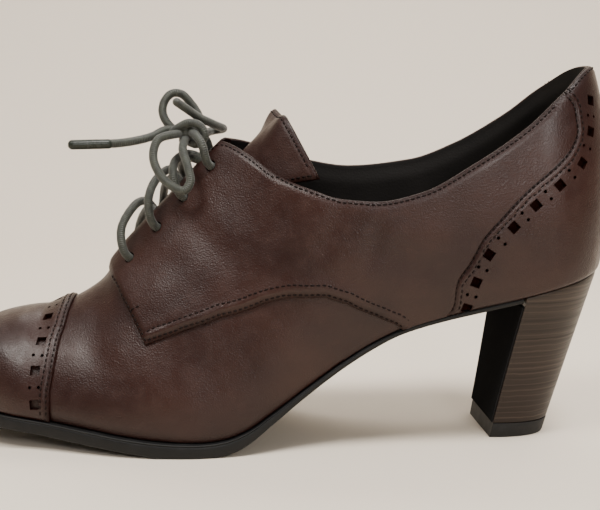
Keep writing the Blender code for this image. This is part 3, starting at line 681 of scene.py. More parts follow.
def eyelet_axes(side):
    """The place of each eyelet on the upper's face in the frame's mm, and the way out of it."""
    at, out, _ = face_frame(*seen_at(EYELETS, -1).T, side)
    return list(zip(at, out))


def eyelet_prisms(side):
    """Prisms that punch a side's eyelets along the way out of the face."""
    prisms = []
    for at, out in eyelet_axes(side):
        across = unit(np.cross(out, (0, 0, 1.0)))
        prisms.append((at, across, np.cross(out, across), out, round_outline(EYELET, EYELET_SIDES), EYELET_DEPTH))
    return prisms


def points_of(obj):
    """Arrays of an object's points in mm and of its normals."""
    mesh = obj.data
    points = np.empty(len(mesh.vertices) * 3, np.float32)
    mesh.vertices.foreach_get("co", points)
    normals = np.empty(len(mesh.vertices) * 3, np.float32)
    mesh.vertex_normals.foreach_get("vector", normals)
    return points.reshape(-1, 3).astype(float) / MM, normals.reshape(-1, 3).astype(float)


def seat_on(obj, places, outward):
    """Places moved along the nearest outward face of an object onto it, with its normals."""
    points, normals = points_of(obj)
    found, ways = [], []
    batches = max(1, len(places) // SEAT_BATCH)
    for some, way in zip(np.array_split(places, batches), np.array_split(outward, batches)):
        far = np.linalg.norm(some[:, None] - points[None], axis=2)
        far += 50 * (way @ normals.T < 0.5)
        near = far.argmin(axis=1)
        normal = normals[near]
        found.append(some - normal * ((some - points[near]) * normal).sum(axis=1, keepdims=True))
        ways.append(normal)
    return np.concatenate(found), np.concatenate(ways)


def stitches(rows):
    """Points and faces of rows of stitches; a row is an object and a line of places with normals.

    A stitch is a short tube of five rings, r(x) = half its width times the ring's share, whose ends
    dip into the leather.
    """
    shares = np.array(STITCH_RINGS)
    turn = np.linspace(0, 2 * math.pi, STITCH_SIDES, endpoint=False)
    ring_x = np.repeat(shares[:, 0] * STITCH_LENGTH, STITCH_SIDES)
    ring_r = np.repeat(shares[:, 1] * STITCH_WIDTH / 2, STITCH_SIDES)
    ring_z = np.repeat(shares[:, 2] * STITCH_WIDTH, STITCH_SIDES)
    across = np.tile(np.cos(turn), len(shares)) * ring_r
    up = np.tile(np.sin(turn), len(shares)) * ring_r + ring_z
    quads = grid_quads(len(shares), STITCH_SIDES, wrap=True)
    cap = np.arange(STITCH_SIDES)
    size = len(ring_x)
    all_points, faces, start = [], [], 0
    for obj, line in rows:
        run = run_along(line[:, :3])
        count = max(2, int(run[-1] / STITCH_PITCH))
        share = (np.arange(count) + 0.5) / count * run[-1]
        both = np.stack([np.interp(share, run, line[:, i]) for i in range(6)], -1)
        at, normal = seat_on(obj, both[:, :3], unit(both[:, 3:]))
        along_row = np.gradient(at, axis=0)
        along_row = unit(along_row - normal * (along_row * normal).sum(axis=1, keepdims=True))
        sideways = np.cross(normal, along_row)
        made = (
            at[:, None] + along_row[:, None] * ring_x[None, :, None]
            + sideways[:, None] * across[None, :, None] + normal[:, None] * up[None, :, None]
        )
        all_points.append(made.reshape(-1, 3))
        shift = (start + np.arange(count) * size)[:, None, None]
        faces += (quads[None] + shift).reshape(-1, 4)[:, ::-1].tolist()
        faces += (cap[None] + shift[:, 0]).tolist()
        faces += (cap[None, ::-1] + (len(shares) - 1) * STITCH_SIDES + shift[:, 0]).tolist()
        start += count * size
    return np.concatenate(all_points), faces


def smooth_line(points, step):
    """Even points on a smooth curve through some points, each with its place along the curve."""
    points = np.asarray(points, float)
    steps = np.linalg.norm(np.diff(points, axis=0), axis=1)
    length = np.concatenate([[0], np.cumsum(steps)])
    tangent = np.gradient(points, length, axis=0)
    fine = np.linspace(0, length[-1], max(4, round(length[-1] / step) + 1))
    i = np.clip(np.searchsorted(length, fine, side="right") - 1, 0, len(steps) - 1)
    width = steps[i][:, None]
    u = ((fine - length[i]) / steps[i])[:, None]
    curve = cubic(points[i], points[i + 1], tangent[i], tangent[i + 1], u, width)
    kernel = np.array([1.0, 2.0, 3.0, 2.0, 1.0]) / 9
    padded = np.pad(curve, ((2, 2), (0, 0)), mode="reflect", reflect_type="odd")
    return np.stack([np.convolve(padded[:, k], kernel, mode="valid") for k in range(3)], -1)


def cord_mesh(name, line, diameter, look, pinch=0.0):
    """A round cord along a line in mm, closed by domes, with UVs around and along it.

    Rings stand square to the line and are carried along it without twist; the radius is
    r (1 + pinch * sin(braid)), a faint swelling where the braid's strands pass.
    """
    tangent = unit(np.gradient(line, axis=0))
    up = np.empty_like(line)
    first = np.cross(tangent[0], (0.3, 0.2, 1.0))
    up[0] = first / np.linalg.norm(first)
    for i in range(1, len(line)):
        carried = up[i - 1] - tangent[i] * (up[i - 1] @ tangent[i])
        up[i] = carried / np.linalg.norm(carried)
    side = np.cross(tangent, up)
    run = run_along(line)
    turn = np.linspace(0, 2 * math.pi, CORD_SIDES, endpoint=False)
    braid = np.sin(turn[None] * 2 + run[:, None] * 2 * math.pi * BRAID_TURNS)
    radius = diameter / 2 * (1 + pinch * braid)
    dome = np.array(CORD_DOME)
    depth = np.sqrt(1 - dome**2) * diameter / 2

    def ring(k, r):
        """The ring of radius r round the line's point k: r (up cos a + side sin a)."""
        return np.cos(turn)[:, None] * up[k] * r + np.sin(turn)[:, None] * side[k] * r

    body = line[:, None] + radius[..., None] * (
        np.cos(turn)[None, :, None] * up[:, None] + np.sin(turn)[None, :, None] * side[:, None]
    )
    start = [line[0] - tangent[0] * d + ring(0, diameter / 2 * k) for k, d in zip(dome[::-1], depth[::-1])]
    end = [line[-1] + tangent[-1] * d + ring(-1, diameter / 2 * k) for k, d in zip(dome, depth)]
    rings = np.concatenate([start, body, end])
    rows = len(rings)
    quads = grid_quads(rows, CORD_SIDES, wrap=True)
    cap = np.arange(CORD_SIDES)
    faces = quads[:, ::-1].tolist() + [cap.tolist(), (cap[::-1] + (rows - 1) * CORD_SIDES).tolist()]
    obj = mesh_object(name, rings.reshape(-1, 3), faces, [look])
    mesh = obj.data
    face_outwards(mesh)
    place = np.concatenate([np.full(len(dome), run[0]), run, np.full(len(dome), run[-1])])
    corner = np.empty(len(mesh.loops), np.int32)
    mesh.loops.foreach_get("vertex_index", corner)
    around = (corner % CORD_SIDES) / CORD_SIDES
    along_it = place[corner // CORD_SIDES]
    sizes = np.empty(len(mesh.polygons), np.int32)
    mesh.polygons.foreach_get("loop_total", sizes)
    owner = np.repeat(np.arange(len(sizes)), sizes)
    wide = np.zeros(len(sizes), bool)
    np.logical_or.at(wide, owner, around > 0.9)
    around = np.where(wide[owner] & (around < 0.1), around + 1, around)
    layer = mesh.uv_layers.new(name="UVMap")
    layer.data.foreach_set("uv", np.stack([around, along_it / 10], 1).astype(np.float32).ravel())
    return obj


def nodes_of(name, colour, roughness):
    """A material with a Principled BSDF, and short makers of its other nodes."""
    look = bpy.data.materials.new(name)
    look.use_nodes = True
    tree = look.node_tree
    shader = tree.nodes["Principled BSDF"]
    shader.inputs["Base Color"].default_value = (*colour, 1)
    shader.inputs["Roughness"].default_value = roughness

    def add(kind, inputs=None, **settings):
        node = tree.nodes.new(kind)
        for key, value in settings.items():
            setattr(node, key, value)
        for key, value in (inputs or {}).items():
            if isinstance(value, bpy.types.NodeSocket):
                tree.links.new(value, node.inputs[key])
            else:
                node.inputs[key].default_value = value
        return node

    return look, tree, shader, add


def blend_colour(add, share, first, second):
    """The colour between two colours by a share."""
    mix = add("ShaderNodeMix", {0: share}, data_type="RGBA")
    for socket, value in ((mix.inputs[6], first), (mix.inputs[7], second)):
        if isinstance(value, bpy.types.NodeSocket):
            mix.id_data.links.new(value, socket)
        else:
            socket.default_value = (*value, 1)
    return mix.outputs[2]


def share_of(add, value, low, high, first=0.0, second=1.0):
    """A value carried from one range to another, and held there."""
    inputs = {0: value, 1: low, 2: high, 3: first, 4: second}
    return add("ShaderNodeMapRange", inputs, clamp=True).outputs[0]


def leather(name, colour, deep, grain=1.0, gloss=0.36):
    """Smooth aniline calf: pores, fine wrinkles, clouds of colour, and darker burnished edges; where edge is below 0
    it is painted shade, in the darkest tone and without shine.
    """
    look, tree, shader, add = nodes_of(name, colour, gloss)
    place = add("ShaderNodeTexCoord").outputs["Object"]
    clouds = add("ShaderNodeTexNoise", {"Vector": place, "Scale": 38.0, "Detail": 3.0}).outputs[0]
    mottle = add("ShaderNodeTexNoise", {"Vector": place, "Scale": 260.0, "Detail": 4.0}).outputs[0]
    pores = add("ShaderNodeTexVoronoi", {"Vector": place, "Scale": 1700.0}, feature="F1").outputs[0]
    wrinkle = add("ShaderNodeTexNoise", {"Vector": place, "Scale": 2100.0, "Detail": 2.0}).outputs[0]
    edge = add("ShaderNodeAttribute", attribute_name="edge").outputs["Fac"]
    tone = blend_colour(add, share_of(add, clouds, 0.35, 0.68), deep, colour)
    lighter = tuple(1.35 * c for c in colour)
    tone = blend_colour(add, share_of(add, mottle, 0.55, 0.8, 0.0, 0.35), tone, lighter)
    # Darker within 2.2 mm of an edge for the burnished edges; an edge below 0 takes the darkest tone as painted
    # shade.
    tone = blend_colour(add, share_of(add, edge, 0.0, 2.2, 0.55, 0.0), tone, tuple(0.45 * c for c in deep))
    tree.links.new(tone, shader.inputs["Base Color"])
    rough = share_of(add, mottle, 0.3, 0.75, gloss - 0.05, gloss + 0.12)
    tree.links.new(rough, shader.inputs["Roughness"])
    fine = add("ShaderNodeBump", {"Height": pores, "Strength": 0.3 * grain, "Distance": 0.00025})
    broad = add("ShaderNodeBump", {"Height": wrinkle, "Strength": 0.36 * grain, "Distance": 0.00025,
                                   "Normal": fine.outputs[0]})
    soft = add("ShaderNodeTexNoise", {"Vector": place, "Scale": 75.0, "Detail": 2.0}).outputs[0]
    waves = add("ShaderNodeBump", {"Height": soft, "Strength": 0.35, "Distance": 0.0012,
                                   "Normal": broad.outputs[0]})
    tree.links.new(waves.outputs[0], shader.inputs["Normal"])
    away = share_of(add, edge, 0.2, 2.4, 0.45, 1.0)
    for bare, full, entry in ((0.0, 0.12, "Coat Weight"), (0.0, 0.32, "Specular IOR Level")):
        shown = share_of(add, edge, -1.0, -0.5, bare, full)
        product = add("ShaderNodeMath", {0: shown, 1: away}, operation="MULTIPLY").outputs[0]
        tree.links.new(product, shader.inputs[entry])
    shader.inputs["Coat Roughness"].default_value = 0.25
    return look


def lining_look(name, colour, shine=0.18):
    """Dark lining leather or thread, flat and finely pored."""
    look, tree, shader, add = nodes_of(name, colour, 0.62)
    shader.inputs["Specular IOR Level"].default_value = shine
    place = add("ShaderNodeTexCoord").outputs["Object"]
    clouds = add("ShaderNodeTexNoise", {"Vector": place, "Scale": 60.0, "Detail": 4.0}).outputs[0]
    pores = add("ShaderNodeTexNoise", {"Vector": place, "Scale": 1400.0, "Detail": 2.0}).outputs[0]
    tone = blend_colour(add, share_of(add, clouds, 0.3, 0.7), colour, tuple(1.8 * c for c in colour))
    tree.links.new(tone, shader.inputs["Base Color"])
    bump = add("ShaderNodeBump", {"Height": pores, "Strength": 0.3, "Distance": 0.0003})
    tree.links.new(bump.outputs[0], shader.inputs["Normal"])
    return look


def sole_look(name, colour, rough, dusty=0.55, shine=0.25):
    """Moulded black sole: matte, with fine dust and scuffs that dull its gloss."""
    look, tree, shader, add = nodes_of(name, colour, rough)
    place = add("ShaderNodeTexCoord").outputs["Object"]
    dust = add("ShaderNodeTexNoise", {"Vector": place, "Scale": 180.0, "Detail": 6.0, "Roughness": 0.7}).outputs[0]
    fine = add("ShaderNodeTexNoise", {"Vector": place, "Scale": 1600.0, "Detail": 2.0}).outputs[0]
    tone = blend_colour(add, share_of(add, dust, 0.52, 0.8, 0.0, dusty), colour, tuple(3.2 * c for c in colour))
    tree.links.new(tone, shader.inputs["Base Color"])
    tree.links.new(share_of(add, dust, 0.3, 0.8, rough - 0.08, rough + 0.15), shader.inputs["Roughness"])
    bump = add("ShaderNodeBump", {"Height": fine, "Strength": 0.18, "Distance": 0.0003})
    tree.links.new(bump.outputs[0], shader.inputs["Normal"])
    shader.inputs["Specular IOR Level"].default_value = shine
    return look


# Shares of the heel's colour at the floor, for the painted shade low on the heel
HEEL_PAINTED_SHADE_TONE = (0.36, 0.26, 0.24)
HEEL_LAYER_WAVE = 150.0


def stack_look(name, colour):
    """Stacked heel: thin layers one over the other, each with its own tone, fine lines between, and painted shade
    that darkens it towards the floor.
    """
    look, tree, shader, add = nodes_of(name, colour, 0.4)
    place = add("ShaderNodeTexCoord").outputs["Object"]
    flat = add("ShaderNodeMapping", {"Vector": place, "Scale": (9.0, 9.0, 900.0)}).outputs[0]
    broad = add("ShaderNodeMapping", {"Vector": place, "Scale": (7.0, 7.0, 330.0)}).outputs[0]
    lines = add("ShaderNodeTexNoise", {"Vector": flat, "Scale": 1.0, "Detail": 3.0, "Roughness": 0.65}).outputs[0]
    layers = add("ShaderNodeTexNoise", {"Vector": broad, "Scale": 1.0, "Detail": 2.0}).outputs[0]
    tone = blend_colour(add, share_of(add, layers, 0.35, 0.65), tuple(0.62 * c for c in colour), colour)
    tone = blend_colour(add, share_of(add, lines, 0.5, 0.66, 0.0, 0.85), tone, tuple(0.3 * c for c in colour))
    # Painted shade: from 50 mm down, the heel darkens towards the floor to a fixed share of its colour.
    height = add("ShaderNodeSeparateXYZ", {"Vector": place}).outputs[2]
    low = tuple(share * c for share, c in zip(HEEL_PAINTED_SHADE_TONE, colour))
    tone = blend_colour(add, share_of(add, height, 0.004, 0.05, 0.85, 0.0), tone, low)
    wave = add("ShaderNodeTexWave", {"Vector": place, "Scale": HEEL_LAYER_WAVE, "Distortion": 1.6, "Detail": 2.0},
               wave_type="BANDS", bands_direction="Z").outputs["Fac"]
    joint = add("ShaderNodeMath", {0: share_of(add, wave, 0.8, 0.99), 1: share_of(add, layers, 0.3, 0.6, 0.25, 0.75)},
                operation="MULTIPLY").outputs[0]
    tone = blend_colour(add, joint, tone, tuple(1.5 * c for c in colour))
    tree.links.new(tone, shader.inputs["Base Color"])
    tree.links.new(share_of(add, lines, 0.35, 0.7, 0.34, 0.52), shader.inputs["Roughness"])
    shader.inputs["Specular IOR Level"].default_value = 0.28
    bump = add("ShaderNodeBump", {"Height": lines, "Strength": 0.35, "Distance": 0.0003})
    tree.links.new(bump.outputs[0], shader.inputs["Normal"])
    return look


def lace_look(name, colour):
    """Round waxed cord: a fine braid that crosses both ways, with painted shade in its grooves, mottled where the wax
    has worn.
    """
    look, tree, shader, add = nodes_of(name, colour, 0.5)
    uv = add("ShaderNodeTexCoord").outputs["UV"]
    place = add("ShaderNodeTexCoord").outputs["Object"]
    wear = add("ShaderNodeTexNoise", {"Vector": place, "Scale": 520.0, "Detail": 5.0, "Roughness": 0.7}).outputs[0]
    braid = []
    for turn in (1, -1):
        slanted = add("ShaderNodeMapping", {"Vector": uv, "Scale": (9.0, 60.0 * turn, 1.0)}).outputs[0]
        wave = add("ShaderNodeTexWave", {"Vector": slanted, "Scale": 0.16, "Distortion": 0.6, "Detail": 1.0},
                   wave_type="BANDS", bands_direction="DIAGONAL")
        braid.append(wave.outputs["Fac"])
    woven = add("ShaderNodeMath", {0: braid[0], 1: braid[1]}, operation="MAXIMUM").outputs[0]
    tone = blend_colour(add, share_of(add, wear, 0.4, 0.72), tuple(0.55 * c for c in colour),
                        tuple(1.75 * c for c in colour))
    # Painted shade: the grooves between the braid's strands are darkened.
    tone = blend_colour(add, share_of(add, woven, 0.25, 0.8, 0.5, 0.0), tone, tuple(0.3 * c for c in colour))
    tree.links.new(tone, shader.inputs["Base Color"])
    bump = add("ShaderNodeBump", {"Height": woven, "Strength": 0.55, "Distance": 0.0003})
    rough = add("ShaderNodeBump", {"Height": wear, "Strength": 0.35, "Distance": 0.0003, "Normal": bump.outputs[0]})
    tree.links.new(rough.outputs[0], shader.inputs["Normal"])
    shader.inputs["Sheen Weight"].default_value = 0.2
    return look


LOOKS = {}


def look_of(key):
    """The material of a finish, made once from the colours in the sidebar."""
    if key not in LOOKS:
        colours = bpy.context.scene.shoe_colours
        makers = {
            "leather": lambda: leather("leather_calf", colours.leather, colours.leather_deep),
            "tongue": lambda: leather("leather_tongue", colours.leather, colours.leather_deep, 0.8, 0.42),
            "thread": lambda: lining_look("thread", colours.thread, 0.12),
            "lining": lambda: lining_look("lining_leather", colours.lining),
            "sole": lambda: sole_look("sole_rubber", colours.sole, 0.5),
            "lift": lambda: sole_look("lift_rubber", colours.lift, 0.55),
            "breast": lambda: sole_look("breast_cover", tuple(2.2 * c for c in colours.sole), 0.7, 0.1, 0.0),
            "heel": lambda: stack_look("heel_stack", colours.heel),
            "lace": lambda: lace_look("lace_cord", colours.lace),
            "aglet": lambda: sole_look("aglet_sleeve", colours.aglet, 0.25),
        }
        LOOKS[key] = makers[key]()
    return LOOKS[key]


def wear(piece, slot, *nodes):
    """Let a piece ride with the shoe and stand it for the solids it replaces; the slot it is given is not used."""
    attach(piece, "root")
    if nodes:
        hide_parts(*nodes)


def steps_between(*stops):
    """Uneven steps through stops of (place, spacing up to the next stop)."""
    runs = []
    for (low, spacing), (high, _) in zip(stops, stops[1:]):
        count = max(1, round((high - low) / spacing))
        runs.append(np.linspace(low, high, count, endpoint=False))
    return np.concatenate(runs + [[stops[-1][0]]])


def make_upper():
    """Vamp and quarters' base with the lining, open at the collar, the throat and underneath."""
    girth = steps_between((0, 1.5), (girth_at(134), 0.9), (girth_at(143), 1.2), (girth_at(170), 0.6),
                          (girth_at(180), 1.3), (TIP, 1))
    rows = np.linspace(0, 1, 62)[:, None]
    patches = []
    for side in (-1, 1):
        top = top_of(girth, side, THROAT_SPACE)
        top[0] = top_of(girth[:1], -1, THROAT_SPACE)[0]
        points = surface(girth[None, :], rows * top[None, :], side)
        share_middle(points, patches, [0, -1])
        distance = edge_distances(points)
        open_top = top[None, :] < 0.999
        collar = np.where(open_top, distance["high"], 99.0)
        relief = crease_depth(points, side)
        inner = -WALL + (WALL - LINING_AT_COLLAR) * (1 - ease(collar, 0, 7.0))
        under = 1 - ease(distance["low"], 0, 4.0)
        patches.append({
            "points": points, "side": side, "outer": relief - 0.35 * under, "inner": inner + 0 * relief,
            # Behind that s the upper, covered by the counter, gets edge -1: painted shade in the darkest tone with no
            # shine, so the floors of the counter's punched squares look dark.
            "edge": np.where(points[..., 0] < PAINTED_SHADE_BACK, -1.0, np.minimum(collar, distance["low"] + 2.0)),
        })
    upper = shell("upper_leather", patches, [look_of("leather"), look_of("lining")])
    punch(upper, eyelet_prisms(-1) + eyelet_prisms(1))
    wear(upper, "leather", "upper")
    return upper


def share_middle(points, patches, columns):
    """Puts a second side's columns on the middle line exactly where the first side has them."""
    for patch in patches[:1]:
        points[:, columns] = patch["points"][:, columns]


def skin(face, distances, rows=()):
    """Height of an overlay's outer skin: skived at its edges, with grooves along stitch rows."""
    nearest = np.minimum.reduce([distances[key] for key in distances])
    height = face * (SKIVED + (1 - SKIVED) * ease(nearest, 0, 2.6))
    for distance, inset in rows:
        height = height - GROOVE * bell(distance - inset, GROOVE_WIDTH)
    return height, nearest


def make_toe_cap():
    """The cap over the toe, from its straight seam forward, with its punched row."""
    rows = steps_between((OVERLAY_FOOT, 0.015), (1, 1))[:, None]
    edge = seen_at(CAP_EDGE, -1)
    start = np.interp(rows, edge[:, 1], edge[:, 0])
    run = steps_between((0, 0.4), (6, 0.9), (TIP - edge[0, 0], 1)) / (TIP - edge[0, 0])
    patches, lines = [], []
    for side in (-1, 1):
        points = surface(start + (TIP - start) * run[None, :], rows, side)
        share_middle(points, patches, [-1])
        distance = edge_distances(points)
        distance["left"] = far_from(points, points[:, 0])
        cap = {"left": distance["left"], "low": distance["low"] + 0.8}
        stitched = ((distance["left"], NEAR_ROW), (distance["left"], CLOSE_ROW))
        height, nearest = skin(OVERLAY_FACE, cap, stitched)
        relief = crease_depth(points, side)
        patches.append({"points": points, "side": side, "outer": height + relief, "inner": relief + 0.05,
                        "edge": nearest})
        faced = with_normals(points, side)
        for inset in (NEAR_ROW, CLOSE_ROW):
            lines.append(level_row(faced.transpose(1, 0, 2), distance["left"].T, inset))
    cap = shell("toe_cap_leather", patches, [look_of("leather")])
    punch(cap, trim_prisms(CAP_SQUARES, -1, 1) + trim_prisms(CAP_SQUARES, 1, 1))
    wear(cap, "leather", "toe_cap")
    return [(cap, line) for line in lines]


def counter_edge(side, count=60):
    """Girth and t of even steps up the front edge of the counter, from the seat to the collar."""
    edge = seen_at(COUNTER_EDGE, side)
    edge[0, 1] = OVERLAY_FOOT
    edge[-1, 1] = top_of(edge[-1, 0], side, FACING_SPACE)[0]
    places = surface(edge[:, 0], edge[:, 1], side)
    steps = np.linalg.norm(np.diff(places, axis=0), axis=1)
    run = np.concatenate([[0], np.cumsum(steps)])
    even = np.linspace(0, run[-1], count)
    return np.stack([through(np.stack([run, edge[:, i]], 1), even) for i in range(2)], -1)


def make_counter():
    """The counter around the back of the heel, with its punched row along the front edge."""
    rows = np.linspace(0, 1, 84)
    columns = 1 - steps_between((0, 0.007), (0.12, 0.018), (1, 1))[::-1][None, :]
    patches, lines = [], []
    for side in (-1, 1):
        edge = counter_edge(side, len(rows))
        share = (edge[:, 1] / top_of(edge[:, 0], side, FACING_SPACE))[:, None]
        middle = rows[:, None] * (1 - OVERLAY_FOOT) + OVERLAY_FOOT
        girth = edge[:, :1] * columns
        top = np.stack([top_of(row, side, FACING_SPACE) for row in girth])
        top[:, 0] = top_of([0.0], -1, FACING_SPACE)
        points = surface(girth, (middle + (share - middle) * columns) * top, side)
        share_middle(points, patches, [0])
        distance = edge_distances(points)
        distance["right"] = far_from(points, points[:, -1])
        distance["high"] = far_from(points, points[-1])
        edges = {"right": distance["right"], "high": distance["high"] + 0.3, "low": distance["low"] + 0.6}
        stitched = ((distance["right"], NEAR_ROW), (distance["right"], CLOSE_ROW))
        height, nearest = skin(COUNTER_FACE, edges, stitched)
        relief = crease_depth(points, side)
        patches.append({"points": points, "side": side, "outer": height + relief, "inner": relief + 0.05,
                        "edge": nearest})
        faced = with_normals(points, side)
        for inset in (NEAR_ROW, CLOSE_ROW):
            lines.append(level_row(faced[:, ::-1].transpose(1, 0, 2), distance["right"][:, ::-1].T, inset))
        lines.append(level_row(faced[::-1, :-8], distance["high"][::-1, :-8], COLLAR_ROW))
    counter = shell("counter_leather", patches, [look_of("leather")])
    punch(counter, trim_prisms(COUNTER_SQUARES, -1) + trim_prisms(COUNTER_SQUARES, 1))
    wear(counter, "leather", "counter")
    return [(counter, line) for line in lines]


def make_quarter(name, node, side):
    """A quarter with its facing: a patch between the counter, the seam, the front edge and the collar.

    The patch is a Coons patch in girth and t: the two blends of opposite edges less the blend of the
    four corners.
    """
    up = steps_between((0, 0.009), (0.12, 0.022), (0.9, 0.012), (1, 1))
    left = counter_edge(side, len(up)) + (-1.2, 0)
    left = along(left, up)
    seam = np.vstack([[[girth_at(QUARTER_SOLE_END), OVERLAY_FOOT]], seen_at(QUARTER_SEAM, side)])
    bottom = np.vstack([left[:1], seam])
    front = seen_at(QUARTER_FRONT, side)
    girths = np.concatenate([
        np.linspace(left[-1, 0], girth_at(FACING_TOP), 120, endpoint=False),
        np.linspace(girth_at(FACING_TOP), girth_at(FACING_FOOT), 80, endpoint=False),
    ])
    top = np.column_stack([girths, top_of(girths, side, FACING_SPACE)])
    share = np.linspace(0, 1, 13)[:, None]
    near_front, near_top = along(front, [0.86])[0], top[-12]
    arc = (1 - share) ** 2 * near_front + 2 * share * (1 - share) * front[-1] + share**2 * near_top
    front = np.vstack([along(front, np.linspace(0, 0.86, 12)), arc[1:7]])
    top = np.vstack([top[:-12], arc[:5:-1]])
    left[-1] = top[0]
    across = np.concatenate([
        np.linspace(0, FACING_COLUMN, 96, endpoint=False),
        FACING_COLUMN + (1 - FACING_COLUMN) * steps_between((0, 0.024), (0.88, 0.012), (1, 1)),
    ])
    steps = np.linalg.norm(np.diff(top, axis=0), axis=1)
    corner = steps[:120].sum() / steps.sum()
    top_share = np.interp(across, (0, FACING_COLUMN, 1), (0, corner, 1))
    low, high = along(bottom, across)[None], along(top, top_share)[None]
    left, right = left[:, None], along(front, up)[:, None]
    a, b = across[None, :, None], up[:, None, None]
    corners = (
        (1 - a) * (1 - b) * bottom[0] + a * (1 - b) * bottom[-1]
        + (1 - a) * b * top[0] + a * b * top[-1]
    )
    patch = (1 - b) * low + b * high + (1 - a) * left + a * right - corners
    points = surface(patch[..., 0], np.clip(patch[..., 1], 0, 1), side)
    points[..., 2] += FACING_LIFT * ease(points[..., 0], *FACING_LIFT_S) * ease(points[..., 2], *FACING_LIFT_Z)
    distance = edge_distances(points)
    seam_part = across > 0.15
    for key, line in (("low", points[0, seam_part]), ("high", points[-1]), ("right", points[:, -1])):
        distance[key] = far_from(points, line)
    low_far = distance["low"]
    front_far = distance["right"]
    edges = {"right": front_far, "high": distance["high"] + 0.3, "low": distance["low"]}
    collar_part = across[None, :] < FACING_COLUMN
    stitched = (
        (low_far, NEAR_ROW), (low_far, FAR_ROW),
        (np.where(collar_part, distance["high"], 30.0), COLLAR_ROW),
    )
    height, nearest = skin(OVERLAY_FACE, edges, stitched)
    height = height + 0.25 * bell(low_far - (NEAR_ROW + FAR_ROW) / 2, 0.9)
    relief = crease_depth(points, side)
    patch = {"points": points, "side": side, "outer": height + relief, "inner": relief + 0.05, "edge": nearest}
    quarter = shell(name, [patch], [look_of("leather")])
    punch(quarter, eyelet_prisms(side))
    wear(quarter, "leather", node)
    faced = with_normals(points, side)
    tack = int(np.argmin(np.abs(up - TACK_UP)))
    held = (distance["right"][tack] > NEAR_ROW) & (distance["right"][tack] < TACK_END)
    lines = [
        faced[tack, held],
        level_row(faced[:, 19:-3], distance["low"][:, 19:-3], NEAR_ROW),
        level_row(faced[:, 20:-5], distance["low"][:, 20:-5], FAR_ROW),
        level_row(faced[::-1, 4:98], distance["high"][::-1, 4:98], COLLAR_ROW),
        level_row(faced[3:-10, ::-1].transpose(1, 0, 2), distance["right"][3:-10, ::-1].T, NEAR_ROW),
    ]
    return [(quarter, line) for line in lines]


def make_tongue():
    """A long plate with two soft ridges and a shallow dip between them, free above the collar."""
    up = steps_between((0, 0.02), (0.94, 0.008), (1, 1))
    run = np.linspace(TONGUE_LINE[0][0], TONGUE_LINE[-1][0], 200)
    line = along(np.column_stack([run, through(TONGUE_LINE[::-1], run)]), up)
    half = through(TONGUE_WIDTH, up)
    across = np.linspace(-1, 1, 49)[:, None]
    width = across * half[None, :]
    fall = TONGUE_FALL * (np.hypot(width, TONGUE_RIDGE) - TONGUE_RIDGE)
    free = ease(up, 0.7, 1.0)[None, :]
    fall = fall * (1 - free) + through(TONGUE_TOP_FALL, np.abs(width)) * free
    slope = unit(np.gradient(line, axis=0))
    down_s = -slope[:, 1] * (1 - free[0]) + TONGUE_TOP_WAY[0] * free[0]
    down_z = slope[:, 0] * (1 - free[0]) + TONGUE_TOP_WAY[1] * free[0]
    s = line[None, :, 0] + down_s[None] * fall + TONGUE_TOP_TURN[0] * width * free
    z = line[None, :, 1] + down_z[None] * fall + (TONGUE_TOP_TURN[1] * width + TONGUE_TOP_RISE) * free
    points = np.stack([s, centre_line(s) + width, z], -1)
    distance = edge_distances(points)
    edges = {key: distance[key] for key in ("low", "high", "right")}
    nearest = np.minimum.reduce(list(edges.values()))
    height = -0.5 * (1 - ease(nearest, 0, 2.0)) - 0.25 * bell(nearest - COLLAR_ROW, 0.5)
    patch = {"points": points, "side": 1, "outer": height, "inner": -TONGUE + 0.4 * (1 - ease(nearest, 0, 2.5)),
             "edge": nearest}
    tongue = shell("tongue_leather", [patch], [look_of("tongue"), look_of("lining")])
    wear(tongue, "leather", "tongue")
    faced = with_normals(points, 1)
    rows = [
        level_row(faced[:, 20:-3], distance["low"][:, 20:-3], COLLAR_ROW),
        level_row(faced[::-1, 20:-3], distance["high"][::-1, 20:-3], COLLAR_ROW),
        level_row(faced[2:-2, ::-1].transpose(1, 0, 2), distance["right"][2:-2, ::-1].T, COLLAR_ROW),
    ]
    return [(tongue, row) for row in rows]


def ring_solid(name, levels, looks, caps=9):
    """A solid between levels of a closed ring: outer side points then inner side points backwards.

    Its lowest and highest level are closed by strips across, from one side to the other.
    """
    levels = np.asarray(levels)
    count, size = levels.shape[:2]
    quads = grid_quads(count, size, wrap=True)
    points = [levels.reshape(-1, 3)]
    faces = [quads]
    start = count * size
    half = size // 2
    for level, low in ((levels[0], True), (levels[-1], False)):
        near, far = level[:half], level[half:][::-1]
        share = np.linspace(0, 1, caps)[:, None, None]
        strip = near[None] * (1 - share) + far[None] * share
        points.append(strip.reshape(-1, 3))
        cap = grid_quads(caps, half, start)
        faces.append(cap if low else cap[:, ::-1])
        start += caps * half
    points = in_frame(np.concatenate(points))
    obj = mesh_object(name, points, np.concatenate(faces).tolist(), looks)
    face_outwards(obj.data, WELD * MM)
    obj.data.shade_smooth()
    obj.data.set_sharp_from_angle(angle=math.radians(SHARP_ANGLE))
    return obj


def edge_ring(girth, outs, heights):
    """Rings around the foot edge, each moved out from it and set at its heights."""
    rings = []
    for out, height in zip(outs, heights):
        sides = []
        for k, side in enumerate((-1, 1)):
            at = surface(girth[k], 0, side, out[k])
            at[..., 2] = height[k]
            sides.append(at)
        rings.append(np.concatenate([sides[0], sides[1][::-1]]))
    return rings


